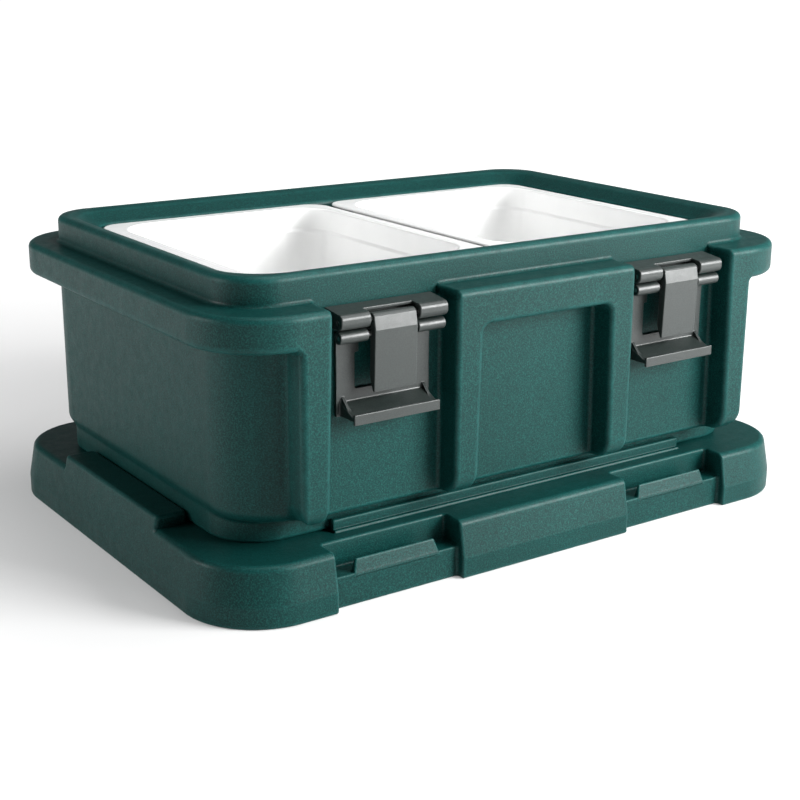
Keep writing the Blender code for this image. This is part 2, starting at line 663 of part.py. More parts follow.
# ---------------------------------------------------------------- pans
def make_pan(name, centre_x):
    """A half-size pan: outside, rim and inside as one closed surface."""
    rim = (PAN_WIDTH / 2, PAN_LENGTH / 2)
    body = (rim[0] - PAN_RIM_OVERHANG, rim[1] - PAN_RIM_OVERHANG)
    edge = PAN_RIM_THICKNESS
    lip = edge * 0.5
    rim_z = PAN_TOP_Z - edge
    inner_radius = PAN_BODY_RADIUS - PAN_WALL
    inner_floor = PAN_BOTTOM_Z + PAN_WALL
    outer_knee = PAN_BOTTOM_Z + PAN_FLOOR_ROUND
    inner_knee = inner_floor + PAN_FLOOR_ROUND

    def draft(z):
        return PAN_DRAFT * (rim_z - z) / (rim_z - PAN_BOTTOM_Z)

    def ring(half, setback, radius, z):
        return (half[0] - setback, half[1] - setback, radius, z)

    rings = [
        ring(body, draft(PAN_BOTTOM_Z) + PAN_FLOOR_ROUND, PAN_BODY_RADIUS - PAN_FLOOR_ROUND, PAN_BOTTOM_Z),
        ring(body, draft(outer_knee), PAN_BODY_RADIUS, outer_knee),
        ring(body, 0.0, PAN_BODY_RADIUS, rim_z),
        ring(rim, 0.0, PAN_RIM_RADIUS, rim_z),
        ring(rim, 0.0, PAN_RIM_RADIUS, PAN_TOP_Z - lip),
        ring(rim, lip, PAN_RIM_RADIUS - lip, PAN_TOP_Z),
        ring(body, PAN_WALL - lip, inner_radius + lip, PAN_TOP_Z),
        ring(body, PAN_WALL, inner_radius, PAN_TOP_Z - lip),
        ring(body, PAN_WALL + draft(inner_knee), inner_radius, inner_knee),
        ring(body, PAN_WALL + draft(inner_floor) + PAN_FLOOR_ROUND,
             inner_radius - PAN_FLOOR_ROUND, inner_floor),
    ]
    return finish(loft(name, rings, centre_x), name, "pan_plastic", 50.0)


def make_pans():
    """The two pans, side by side along the carrier."""
    offset = (PAN_WIDTH + PAN_GAP) / 2
    make_pan("pan_left", -offset)
    make_pan("pan_right", offset)


# ---------------------------------------------------------------- latches
NOSE_INNER = HANDLE_WIDTH / 2 + HANDLE_SIDE_GAP
NOSE_OUTER = LATCH_WIDTH / 2
TOGGLE = (PIVOT_Y + TOGGLE_SETBACK, PIVOT_Z - TOGGLE_DROP)
PLATE_BACK_Y = -RECESS_Y - BAIL_WALL_GAP


def make_bracket():
    """Fixed hinge bracket: two noses round the upper pin, a top plate and a screw tab."""
    top_z = PIVOT_Z + NOSE_RADIUS
    back_y = -RECESS_Y - GAP
    front_y = back_y - LATCH_SHEET
    centre_front_y = PIVOT_Y + HANDLE_BARREL_RADIUS + BARREL_CLEARANCE
    tab_half = NOSE_INNER - OVERLAP

    def section(y_low, y_high, z_low, z_high):
        return ((y_low, z_low), (y_high, z_low), (y_high, z_high), (y_low, z_high))

    tab = section(front_y, back_y, top_z - BRACKET_TAB_DROP, top_z - OVERLAP / 2)
    back = section(front_y, back_y, top_z - BRACKET_BACK_DROP, top_z - OVERLAP / 2)
    top = section(centre_front_y, back_y, top_z - LATCH_SHEET, top_z)
    bracket = slab("bracket", tab, -tab_half, tab_half)
    pieces = [slab("back", back, -NOSE_OUTER, NOSE_OUTER), slab("top", top, -NOSE_OUTER, NOSE_OUTER)]
    pieces += both_sides(
        lambda low, high: slab("plate", section(PIVOT_Y, back_y, top_z - LATCH_SHEET, top_z), low, high),
        NOSE_INNER, NOSE_OUTER)
    pieces += both_sides(
        lambda low, high: cross_rod("nose", NOSE_RADIUS, PIVOT_Y, PIVOT_Z, low, high),
        NOSE_INNER, NOSE_OUTER)
    web = section(PIVOT_Y, back_y, top_z - BRACKET_BACK_DROP + OVERLAP * 0.7, top_z - 2 * HAIR)
    for low, high in ((NOSE_INNER, NOSE_INNER + LATCH_SHEET), (NOSE_OUTER - LATCH_SHEET, NOSE_OUTER)):
        pieces += both_sides(lambda near, far: slab("web", web, near, far), low, high)
    combine(bracket, pieces, "UNION")
    reach = NOSE_OUTER + BORE_REACH
    holes = [cross_rod("pin_bore", BORE_RADIUS, PIVOT_Y, PIVOT_Z, -reach, reach)]
    for side_x in (-1, 1):
        near = (side_x * SCREW_SPACING / 2, front_y - BORE_REACH, SCREW_Z)
        far = (side_x * SCREW_SPACING / 2, back_y + BORE_REACH, SCREW_Z)
        holes.append(rod("screw_hole", INSERT_BORE_RADIUS, near, far))
    combine(bracket, holes, "DIFFERENCE")
    return finish(bracket, "bracket", "latch_nylon")


def make_handle():
    """Toggle handle: a bent strap with side walls, a barrel on the upper pin and lugs for the lower."""
    half = HANDLE_WIDTH / 2
    tip_z = PIVOT_Z - HANDLE_LENGTH
    bend = (PIVOT_Y - HANDLE_FACE, PIVOT_Z - HANDLE_BEND)
    shoulder_angle = math.radians(41)
    shoulder = (
        PIVOT_Y - HANDLE_BARREL_RADIUS * math.cos(shoulder_angle),
        PIVOT_Z + HANDLE_BARREL_RADIUS * math.sin(shoulder_angle),
    )
    tip = (PIVOT_Y - HANDLE_FACE_END, tip_z)
    strap = (
        shoulder, bend, tip, (tip[0] + LATCH_SHEET, tip_z),
        (bend[0] + LATCH_SHEET, bend[1]), (PIVOT_Y, PIVOT_Z),
    )
    side = (
        shoulder, bend, tip, (tip[0] + LATCH_SHEET, tip_z),
        (tip[0] + HANDLE_SIDE_DEPTH, tip_z + HANDLE_SIDE_RISE),
        (bend[0] + HANDLE_SIDE_DEPTH, TOGGLE[1] - HANDLE_LUG_RADIUS),
        (bend[0] + HANDLE_SIDE_DEPTH, bend[1] + OVERLAP),
        (PIVOT_Y, PIVOT_Z),
    )
    handle = slab("handle", strap, -half, half)
    pieces = [cross_rod("barrel", HANDLE_BARREL_RADIUS, PIVOT_Y, PIVOT_Z, -half, half)]
    pieces += both_sides(lambda low, high: slab("side", side, low, high), half - LATCH_SHEET, half - HAIR)
    pieces += both_sides(
        lambda low, high: cross_rod("lug", HANDLE_LUG_RADIUS, *TOGGLE, low, high),
        half - LATCH_SHEET - OVERLAP, half)
    combine(handle, pieces, "UNION")
    reach = half + BORE_REACH
    bores = [
        cross_rod("upper_bore", BORE_RADIUS, PIVOT_Y, PIVOT_Z, -reach, reach),
        cross_rod("lower_bore", BORE_RADIUS, *TOGGLE, -reach, reach),
    ]
    combine(handle, bores, "DIFFERENCE")
    return finish(handle, "handle", "latch_nylon")


def make_bail():
    """Bail: knuckles on the lower pin, two arms round the handle, and a hooked shelf below."""
    bar_low = PIVOT_Z - BAIL_LENGTH
    bar_top = bar_low + BAIL_BAR
    front_y = PLATE_BACK_Y - LATCH_SHEET
    lip_y = -FLANGE_HALF[1]
    knuckle_low = NOSE_INNER + GAP
    arm_low = knuckle_low + BAIL_ARM_INSET
    arm_high = arm_low + BAIL_ARM_WIDTH
    half_sheet = LATCH_SHEET / 2
    arm = (
        (TOGGLE[0], TOGGLE[1] - half_sheet), (front_y, TOGGLE[1] - half_sheet), (front_y, bar_low),
        (PLATE_BACK_Y, bar_low), (PLATE_BACK_Y, TOGGLE[1] + half_sheet), (TOGGLE[0], TOGGLE[1] + half_sheet),
    )
    shelf_half = arm_high - BAIL_SHELF_OVERHANG
    bar = (
        (front_y, bar_low + HAIR), (PLATE_BACK_Y, bar_low + HAIR),
        (PLATE_BACK_Y, bar_top), (front_y, bar_top),
    )
    bail = slab("bail", bar, -arm_high + HAIR, arm_high - HAIR)
    pieces = both_sides(lambda low, high: slab("arm", arm, low, high), arm_low, arm_high)
    pieces += both_sides(
        lambda low, high: cross_rod("knuckle", KNUCKLE_RADIUS, *TOGGLE, low, high),
        knuckle_low, NOSE_OUTER - BAIL_KNUCKLE_END_INSET)
    head = (
        (front_y, TOGGLE[1] - BAIL_HEAD), (PLATE_BACK_Y, TOGGLE[1] - BAIL_HEAD),
        (PLATE_BACK_Y, TOGGLE[1] + half_sheet - HAIR), (TOGGLE[0], TOGGLE[1] + half_sheet - HAIR),
        (TOGGLE[0], TOGGLE[1] - half_sheet), (front_y, TOGGLE[1] - half_sheet),
    )
    pieces += both_sides(lambda low, high: slab("head", head, low, high), knuckle_low + HAIR, arm_high - HAIR)
    lip_back = lip_y + LATCH_SHEET
    shelf = (
        (PLATE_BACK_Y - half_sheet, bar_low), (PLATE_BACK_Y - half_sheet, bar_low + LATCH_SHEET),
        (lip_back, bar_low + LATCH_SHEET), (lip_back - GAP, bar_low + BAIL_LIP_UP),
        (lip_y, bar_low + BAIL_LIP_UP), (lip_y, bar_low - BAIL_LIP_DOWN),
        (lip_back - GAP, bar_low - BAIL_LIP_DOWN), (lip_back, bar_low),
    )
    pieces.append(slab("shelf", shelf, -shelf_half, shelf_half))
    gusset_top = bar_top - BAIL_GUSSET_DROP
    gusset_front = lip_y + BAIL_GUSSET_SETBACK
    gusset = (
        (front_y + half_sheet, bar_low + half_sheet), (front_y + half_sheet, gusset_top),
        (front_y - OVERLAP, gusset_top), (gusset_front, bar_low + LATCH_SHEET),
        (gusset_front, bar_low + half_sheet),
    )
    gusset_high = shelf_half - OVERLAP
    pieces += both_sides(
        lambda low, high: slab("gusset", gusset, low, high),
        gusset_high - LATCH_SHEET, gusset_high)
    combine(bail, pieces, "UNION")
    reach = NOSE_OUTER + BORE_REACH
    bore = cross_rod("bore", BORE_RADIUS, *TOGGLE, -reach, reach)
    combine(bail, [bore], "DIFFERENCE")
    return finish(bail, "bail", "latch_nylon")


def make_pin(name, y, z):
    """A steel hinge pin across the latch."""
    half = LATCH_WIDTH / 2 - PIN_END_INSET
    return finish(cross_rod(name, PIN_RADIUS, y, z, -half, half, PIN_STEPS), name, "pin_steel")


def make_latches():
    """Four equal latches; moving pieces have their origin on their own pin."""
    upper = Vector((0, PIVOT_Y, PIVOT_Z))
    lower = Vector((0, *TOGGLE))
    drawn = {
        "bracket": (make_bracket(), upper),
        "upper_pin": (make_pin("upper_pin", PIVOT_Y, PIVOT_Z), upper),
        "handle": (make_handle(), upper),
        "lower_pin": (make_pin("lower_pin", *TOGGLE), lower),
        "bail": (make_bail(), lower),
    }
    for place_name, place in latch_places().items():
        holder = bpy.data.objects.new("latch_" + place_name, None)
        bpy.context.scene.collection.objects.link(holder)
        holder.matrix_world = place
        for piece, (source, origin) in drawn.items():
            copy = new_object(place_name + "_" + piece, source.data)
            copy.parent = holder
            copy.location = origin
    for source, origin in drawn.values():
        source.data.transform(Matrix.Translation(-origin))
        bpy.data.objects.remove(source, do_unlink=True)


def make_screws():
    """The two screws of each bracket."""
    head_y = -RECESS_Y - GAP - LATCH_SHEET - GAP
    shank_end = head_y + SCREW_LENGTH
    screw = rod("screw", SCREW_RADIUS, (0, head_y - SCREW_HEAD_HEIGHT / 2, 0), (0, shank_end, 0), SCREW_STEPS)
    head = rod("head", SCREW_HEAD_RADIUS, (0, head_y - SCREW_HEAD_HEIGHT, 0), (0, head_y, 0), PIN_STEPS)
    combine(screw, [head], "UNION")
    copies(finish(screw, "screw", "pin_steel"), screw_places())


def main():
    clear_scene()
    make_lid()
    make_carrier()
    make_pans()
    make_latches()
    make_screws()


main()
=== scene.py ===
"""Looks of the insulated food carrier: moulded shells, pans and latches made as smooth closed surfaces.

Metres, +Z up, in the frame's own place.  Each visible piece is drawn as a distance field, a function
that is negative inside the piece, so that its edges and inner corners carry real moulded rounds.  The
field's surface is then turned into a mesh.  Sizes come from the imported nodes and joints.
"""
import json
import math

import bpy
import numpy as np
from mathutils import Matrix, Vector


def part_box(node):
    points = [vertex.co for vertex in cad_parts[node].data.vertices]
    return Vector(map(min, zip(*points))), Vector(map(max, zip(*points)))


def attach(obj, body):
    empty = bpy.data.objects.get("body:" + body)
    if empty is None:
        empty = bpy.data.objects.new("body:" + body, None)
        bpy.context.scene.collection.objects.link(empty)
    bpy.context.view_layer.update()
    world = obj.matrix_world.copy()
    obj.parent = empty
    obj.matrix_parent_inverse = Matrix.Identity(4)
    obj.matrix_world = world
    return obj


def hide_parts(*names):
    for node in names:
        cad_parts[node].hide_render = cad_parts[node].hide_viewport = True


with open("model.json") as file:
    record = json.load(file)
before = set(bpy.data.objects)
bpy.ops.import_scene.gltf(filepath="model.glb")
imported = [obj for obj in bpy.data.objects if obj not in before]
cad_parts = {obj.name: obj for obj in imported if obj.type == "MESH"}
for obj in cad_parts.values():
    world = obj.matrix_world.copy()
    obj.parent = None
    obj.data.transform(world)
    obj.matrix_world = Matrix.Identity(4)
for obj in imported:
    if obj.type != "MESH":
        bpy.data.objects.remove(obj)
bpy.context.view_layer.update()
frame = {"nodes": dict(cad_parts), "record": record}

# ---------------------------------------------------------------- sizes from the frame
BODY_LOW, BODY_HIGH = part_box("body_shell")
LID_LOW, LID_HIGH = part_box("lid_shell")
PAN_LOW, PAN_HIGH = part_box("pan_right")
BRACKET_LOW, BRACKET_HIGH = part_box("front_right_bracket")
HANDLE_LOW, HANDLE_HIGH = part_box("front_right_handle")
BAIL_LOW, BAIL_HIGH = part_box("front_right_bail")
PIN_LOW, PIN_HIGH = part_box("front_right_upper_pin")
SCREW_LOW, SCREW_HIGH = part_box("front_right_screw_1")
JOINTS = {joint["name"]: joint for joint in frame["record"]["behaviour"]["joints"]}
PIVOT = JOINTS["front_right_handle_hinge"]["pos_m"]
TOGGLE = JOINTS["front_right_bail_hinge"]["pos_m"]
LATCH_X = PIVOT[0]

# carrier
FLANGE_HALF = (BODY_HIGH.x, BODY_HIGH.y)
WALL_HALF = (FLANGE_HALF[0] - 0.025, FLANGE_HALF[1] - 0.0263)
RIM_HALF = (WALL_HALF[0] - 0.002, WALL_HALF[1] - 0.008)
FOOT_HALF = (WALL_HALF[0] - 0.0025, WALL_HALF[1] - 0.020)
LEDGE_HALF = (RIM_HALF[0] - 0.036, RIM_HALF[1] - 0.037)
WELL_HALF = (LEDGE_HALF[0] - 0.0125, LEDGE_HALF[1] - 0.0125)
FOOT_Z = BODY_LOW.z
RIM_TOP_Z = BODY_HIGH.z
WALL_Z = FOOT_Z + 0.0217  # where the wall ends above the foot
FLANGE_TOP_Z = RIM_TOP_Z - 0.0265
FLANGE_Z = FLANGE_TOP_Z - 0.032  # its underside
LEDGE_Z = RIM_TOP_Z - 0.0158  # where the pans hang
LIP_Z = LEDGE_Z + 0.003  # where the mouth starts to slope
WELL_FLOOR_Z = FOOT_Z + 0.0734
RECESS_HALF = 0.064
RECESS_Y = WALL_HALF[1] - 0.0005
FRAME_BAR = 0.029  # the centre frame, round its window
PORT_X = 0.150
PORT_RADIUS = 0.0125
PORT_DEPTH = 0.0052
PORT_ROUND = 0.0008
FLANGE_CORNER = 0.070
WALL_CORNER = 0.060
FOOT_CORNER = 0.050
RIM_CORNER = 0.046
WELL_CORNER = 0.036
LEDGE_CORNER = 0.0255
FLANGE_ROUND = 0.006
RECESS_ROUND = 0.004
SKIN = 0.0038  # the shell, with the gap to its foam

# lid
LID_HALF = (LID_HIGH.x, LID_HIGH.y)
LID_RIB_TOP = LID_HIGH.z
LID_TOP = LID_RIB_TOP - 0.0115
LID_CREASE = 0.020
LID_TAPER = 0.0055
LID_ROUND = 0.005
LID_CORNER = 0.075
SHELF_Z = 0.030  # the step in the latch pockets
POCKET_HALF = RECESS_HALF + 0.003
RIDGE_HALF = 0.046
RIDGE_Z = SHELF_Z + 0.012
RIDGE_Y = FLANGE_HALF[1] - 0.0065
GROOVE_Y = RIDGE_Y - 0.0148
RIB_HALF = 0.2125
RIB_Y = (FOOT_HALF[1] + 0.0015, FOOT_HALF[1] + 0.0080)
END_RIB_HALF = 0.103
CHANNEL_HALF = (RIM_HALF[0] + 0.003, RIM_HALF[1] + 0.003)
CHANNEL_Z = 0.0295  # roof of the channel that takes the rim
PANEL_HALF = (LEDGE_HALF[0] - 0.010, LEDGE_HALF[1] - 0.010)
PANEL_Z = 0.0177  # underside of the plate inside the channel
PANEL_CORNER = 0.040
RIDGE_LEAN = 0.28

# pans
PAN_HALF = ((PAN_HIGH.x - PAN_LOW.x) / 2, (PAN_HIGH.y - PAN_LOW.y) / 2)
PAN_CORNER = 0.042
PAN_RIM_CORNER = 0.024
PAN_RIM_OUT = 0.0125
PAN_RIM_THICK = 0.0027
PAN_WALL = 0.0035
PAN_DRAFT = 0.0105  # how far the walls lean in by the floor
PAN_STEP_DROP = 0.022  # from the rim down to the stacking step

# latches, about their own middle plane; y and z are those of the front latches; NO_LIMIT as the
# inner x of a stretch makes it run through the middle plane
SHEET = 0.003
HANDLE_HALF = HANDLE_HIGH.x - LATCH_X
NOSE_OUTER = BRACKET_HIGH.x - LATCH_X
NOSE_INNER = HANDLE_HALF + 0.0035
NOSE_RADIUS = 0.0065
BARREL_RADIUS = 0.0052
BARREL_ROOM = 0.0070  # the cut-out in the bracket that the barrel turns in
HOOD_ROUND = 0.0052
LUG_RADIUS = 0.0048
KNUCKLE_RADIUS = 0.0055
PIN_RADIUS = (PIN_HIGH.z - PIN_LOW.z) / 2
BORE_RADIUS = PIN_RADIUS + 0.0004
BRACKET_BACK_Y = -RECESS_Y - 0.0003
BRACKET_TOP_Z = BRACKET_HIGH.z + 0.0010
BRACKET_RISE = 0.12  # slope of the top plate, up towards the rim
BRACKET_EDGE_Y = -RIM_HALF[1] - 0.0012
PLATE_BACK_Y = -RECESS_Y - 0.0007
SCREW_Z = (SCREW_LOW.z + SCREW_HIGH.z) / 2
SCREW_X = 0.012
SCREW_RADIUS = (SCREW_HIGH.x - SCREW_LOW.x) / 2
SCREW_LENGTH = SCREW_HIGH.y - SCREW_LOW.y
SCREW_HOLE_RADIUS = 0.0020
PIN_NOSE = 0.0006
KNUCKLE_INNER = NOSE_INNER + 0.0003
BAIL_ARM_LOW = NOSE_INNER + 0.0043
BAIL_ARM_HIGH = BAIL_ARM_LOW + 0.0190
SHELF_HALF = BAIL_ARM_HIGH - 0.004
SHELF_RISE = 0.0125
NO_LIMIT = -1

# each latch: its side in x, and 1 at the front or -1 at the back
LATCHES = {
    "front_left": (-1, 1), "front_right": (1, 1), "back_left": (-1, -1), "back_right": (1, -1),
}


# ---------------------------------------------------------------- distance fields
def convex(a, b, radius):
    """What two forms have in common, its outer edge rounded."""
    out_a = np.maximum(a + radius, 0)
    out_b = np.maximum(b + radius, 0)
    return np.minimum(np.maximum(a, b), -radius) + np.hypot(out_a, out_b)


def concave(a, b, radius):
    """Two forms joined, their inner corner filled with a round."""
    return -convex(-a, -b, radius)


def cut(a, b, radius):
    """Form a without form b, the new edge rounded."""
    return convex(a, -b, radius)


def span(value, low, high):
    """Distance out of a stretch from low to high."""
    return np.maximum(low - value, value - high)


def plan(x, y, half, radius):
    """A rounded rectangle seen from above."""
    u = np.abs(x) - (half[0] - radius)
    v = np.abs(y) - (half[1] - radius)
    return np.hypot(np.maximum(u, 0), np.maximum(v, 0)) + np.minimum(np.maximum(u, v), 0) - radius


def outline(u, v, points, radius=0.0):
    """A closed outline, anticlockwise; its outer corners are rounded when radius is given."""
    if radius:
        points = drawn_in(points, radius)
    nearest = np.full(np.broadcast(u, v).shape, 1.0)
    sign = np.ones_like(nearest)
    for (au, av), (bu, bv) in zip(points, points[1:] + points[:1]):
        eu, ev = bu - au, bv - av
        wu, wv = u - au, v - av
        along = np.clip((wu * eu + wv * ev) / (eu * eu + ev * ev), 0, 1)
        nearest = np.minimum(nearest, (wu - eu * along) ** 2 + (wv - ev * along) ** 2)
        above = v >= av
        below = v < bv
        left = eu * wv > ev * wu
        crosses = (above & below & left) | (~above & ~below & ~left)
        sign = np.where(crosses, -sign, sign)
    return sign * np.sqrt(nearest) - radius


def drawn_in(points, distance):
    """An anticlockwise outline moved inwards by a distance."""
    moved = []
    count = len(points)
    for index in range(count):
        before = Vector(points[index - 1])
        here = Vector(points[index])
        after = Vector(points[(index + 1) % count])
        first = (here - before).normalized()
        second = (after - here).normalized()
        inward_a = Vector((-first.y, first.x))
        inward_b = Vector((-second.y, second.x))
        mitre = (inward_a + inward_b) / (1 + inward_a.dot(inward_b))
        moved.append(tuple(here + mitre * distance))
    return moved


def disc(u, v, centre, radius):
    """A round bar seen end on."""
    return np.hypot(u - centre[0], v - centre[1]) - radius


# ---------------------------------------------------------------- meshes from fields
CELL_CORNERS = [(i, j, k) for i in (0, 1) for j in (0, 1) for k in (0, 1)]
CELL_EDGES = [(a, b) for a in range(8) for b in range(a + 1, 8) if bin(a ^ b).count("1") == 1]
SLOPE_STEP = 0.0001
SETTLE_ROUNDS = 3
TURN_STEPS = 48


def slope(field, points):
    """The field's gradient at each point."""
    parts = []
    for axis in range(3):
        shift = np.zeros(3)
        shift[axis] = SLOPE_STEP
        parts.append((field(*(points + shift).T) - field(*(points - shift).T)) / (2 * SLOPE_STEP))
    return np.stack(parts, axis=1)


def settle(field, points, reach, fixed):
    """Move points onto the field's surface; fixed marks coordinates that stay."""
    for _ in range(SETTLE_ROUNDS):
        grad = slope(field, points)
        size = np.maximum((grad * grad).sum(1), 0.05)
        move = grad * (-field(*points.T) / size)[:, None]
        length = np.maximum(np.linalg.norm(move, axis=1), 1e-12)
        move *= np.minimum(1, reach / length)[:, None]
        move[fixed] = 0
        points = points + move
    return points


def surface(field, low, high, cell, mirrors):
    """Points and quads of the field's surface; mirrored axes start half a cell before zero."""
    axes = []
    for axis in range(3):
        start = -cell / 2 if axis in mirrors else low[axis]
        count = int(math.ceil((high[axis] - start) / cell)) + 1
        axes.append(start + cell * np.arange(count))
    values = field(
        axes[0][:, None, None].astype(np.float32), axes[1][None, :, None].astype(np.float32),
        axes[2][None, None, :].astype(np.float32),
    )
    size = np.array(values.shape)
    inside = values < 0
    corner_views = []
    for i, j, k in CELL_CORNERS:
        corner_views.append(inside[i:size[0] - 1 + i, j:size[1] - 1 + j, k:size[2] - 1 + k])
    some = corner_views[0].copy()
    every = corner_views[0].copy()
    for view in corner_views[1:]:
        some |= view
        every &= view
    cells = np.argwhere(some & ~every)
    number = np.full(tuple(size - 1), -1, dtype=np.int64)
    number[tuple(cells.T)] = np.arange(len(cells))
    corners = np.stack([values[tuple((cells + offset).T)] for offset in CELL_CORNERS], axis=1)
    total = np.zeros((len(cells), 3))
    hits = np.zeros(len(cells))
    for a, b in CELL_EDGES:
        va, vb = corners[:, a], corners[:, b]
        crossing = (va < 0) != (vb < 0)
        along = np.where(crossing, va / np.where(crossing, va - vb, 1), 0)[:, None]
        point = np.array(CELL_CORNERS[a]) + along * (np.array(CELL_CORNERS[b]) - CELL_CORNERS[a])
        total += point * crossing[:, None]
        hits += crossing
    origin = np.array([axis[0] for axis in axes])
    points = origin + (cells + total / hits[:, None]) * cell
    quads = []
    for axis in range(3):
        near = [slice(None)] * 3
        far = [slice(None)] * 3
        near[axis] = slice(0, -1)
        far[axis] = slice(1, None)
        flips = inside[tuple(near)] != inside[tuple(far)]
        places = np.argwhere(flips)
        one, two = (axis + 1) % 3, (axis + 2) % 3
        good = (places[:, one] > 0) & (places[:, two] > 0)
        good &= (places[:, one] < size[one] - 1) & (places[:, two] < size[two] - 1)
        places = places[good]
        ring = []
        for step_one, step_two in ((-1, -1), (0, -1), (0, 0), (-1, 0)):
            shifted = places.copy()
            shifted[:, one] += step_one
            shifted[:, two] += step_two
            ring.append(number[tuple(shifted.T)])
        faces = np.stack(ring, axis=1)
        outward = inside[tuple(places.T)]
        faces[~outward] = faces[~outward][:, ::-1]
        quads.append(faces)
    return points, np.concatenate(quads)


def mesh_of(name, points, faces):
    """A Blender mesh from arrays of points and of faces with equal corner counts."""
    mesh = bpy.data.meshes.new(name)
    sides = faces.shape[1]
    mesh.vertices.add(len(points))
    mesh.vertices.foreach_set("co", points.astype(np.float32).ravel())
    mesh.loops.add(faces.size)
    mesh.loops.foreach_set("vertex_index", faces.astype(np.int32).ravel())
    mesh.polygons.add(len(faces))
    mesh.polygons.foreach_set("loop_start", np.arange(0, faces.size, sides, dtype=np.int32))
    mesh.update(calc_edges=True)
    mesh.validate()
    return mesh


def thinned(points, faces, triangles):
    """The same surface with about the given number of triangles."""
    if len(faces) * 2 <= triangles:
        return points, np.concatenate([faces[:, [0, 1, 2]], faces[:, [0, 2, 3]]])
    helper = bpy.data.objects.new("helper", mesh_of("helper", points, faces))
    bpy.context.scene.collection.objects.link(helper)
    modifier = helper.modifiers.new("thin", "DECIMATE")
    modifier.ratio = triangles / (len(faces) * 2)
    modifier.use_collapse_triangulate = True
    bpy.context.view_layer.update()
    mesh = helper.evaluated_get(bpy.context.evaluated_depsgraph_get()).to_mesh()
    found = np.empty(len(mesh.vertices) * 3, dtype=np.float32)
    mesh.vertices.foreach_get("co", found)
    corners = np.empty(len(mesh.loops), dtype=np.int32)
    mesh.loops.foreach_get("vertex_index", corners)
    bpy.data.objects.remove(helper, do_unlink=True)
    return found.reshape(-1, 3).astype(np.float64), corners.reshape(-1, 3).astype(np.int64)


def on_mirror(points, faces, mirrors, tolerance):
    """Which coordinates of the open edge's points lie on a mirror plane."""
    edges = np.concatenate([faces[:, [0, 1]], faces[:, [1, 2]], faces[:, [2, 0]]])
    edges.sort(axis=1)
    pairs, count = np.unique(edges, axis=0, return_counts=True)
    border = np.zeros(len(points), dtype=bool)
    border[pairs[count == 1].ravel()] = True
    fixed = np.zeros(points.shape, dtype=bool)
    for axis in mirrors:
        fixed[:, axis] = border & (np.abs(points[:, axis]) < tolerance)
    return fixed


def form_mesh(name, field, low, high, cell, triangles, mirrors, round_size):
    """The mesh of a field, with smooth normals and an attribute that marks outer edges, for edge wear and a
    painted edge highlight.

    mirrors lists the axes that the form is symmetric about, and round_size is about the size of
    the rounds that the edge attribute marks.
    """
    points, quads = surface(field, low, high, cell, mirrors)
    points, faces = thinned(points, quads, triangles // 2 ** len(mirrors))
    fixed = on_mirror(points, faces, mirrors, cell)
    points[fixed] = 0
    points = settle(field, points, cell, fixed)
    normals = slope(field, points)
    normals[fixed] = 0
    normals /= np.maximum(np.linalg.norm(normals, axis=1), 1e-9)[:, None]
    reach = round_size / 3
    bend = sum(
        field(*(points + shift).T) + field(*(points - shift).T)
        for shift in np.eye(3) * reach
    ) / reach ** 2
    edge = np.clip(bend * round_size, 0, 1)
    for axis in mirrors:
        kept = fixed[:, axis]
        twin = np.arange(len(points))
        twin[~kept] = len(points) + np.arange((~kept).sum())
        flip = np.ones(3)
        flip[axis] = -1
        points = np.concatenate([points, points[~kept] * flip])
        normals = np.concatenate([normals, normals[~kept] * flip])
        edge = np.concatenate([edge, edge[~kept]])
        fixed = np.concatenate([fixed, fixed[~kept]])
        faces = np.concatenate([faces, twin[faces][:, ::-1]])
    mesh = mesh_of(name, points, faces)
    mesh.shade_smooth()
    mesh.normals_split_custom_set_from_vertices(normals.tolist())
    # outer-edge mask: drives edge wear, and on the carrier also a painted edge highlight
    mesh.attributes.new("worn_edge", "FLOAT", "POINT").data.foreach_set("value", edge.astype(np.float32))
    return mesh


def show(name, mesh, place=None):
    """An object for a mesh, moved to its place."""
    made = bpy.data.objects.new(name, mesh)
    bpy.context.scene.collection.objects.link(made)
    if place is not None:
        made.matrix_world = place
    return made


# ---------------------------------------------------------------- carrier
def draft(z, low, high):
    """From 1 at low to 0 at high."""
    return (high - z) / (high - low)


def port_field(x, y, z, skin_z):
    """A shallow round port in an underside at height skin_z."""
    return np.maximum(disc(np.abs(x), y, (PORT_X, 0), PORT_RADIUS), z - skin_z - PORT_DEPTH)


def recess_field(x, y, z):
    """The latch recesses and the windows under the centre frame, open towards the front and back."""
    out_x = np.abs(x)
    out_y = np.abs(y)
    inner = LATCH_X - RECESS_HALF
    spread = 0.006 * draft(z, FOOT_Z, RIM_TOP_Z)
    sides = span(out_x, inner, LATCH_X + RECESS_HALF + spread)
    recess = convex(sides, RECESS_Y - out_y, RECESS_ROUND)
    window_half = inner - FRAME_BAR
    window_top = FLANGE_Z - 0.002
    window_side = out_x - window_half - 0.004 * draft(z, FOOT_Z, window_top)
    window = convex(convex(window_side, z - window_top, 0.009), RECESS_Y - out_y, RECESS_ROUND)
    return np.minimum(recess, window)


def notch_field(x, y, z):
    """The notches in the flange's top that the latch brackets lie in, as deep as the rim."""
    sides = span(np.abs(x), LATCH_X - RECESS_HALF, LATCH_X + RECESS_HALF)
    floor = BRACKET_TOP_Z - SHEET + 0.0015
    return convex(sides, np.maximum(RIM_HALF[1] - 0.010 - np.abs(y), floor - z), 0.002)


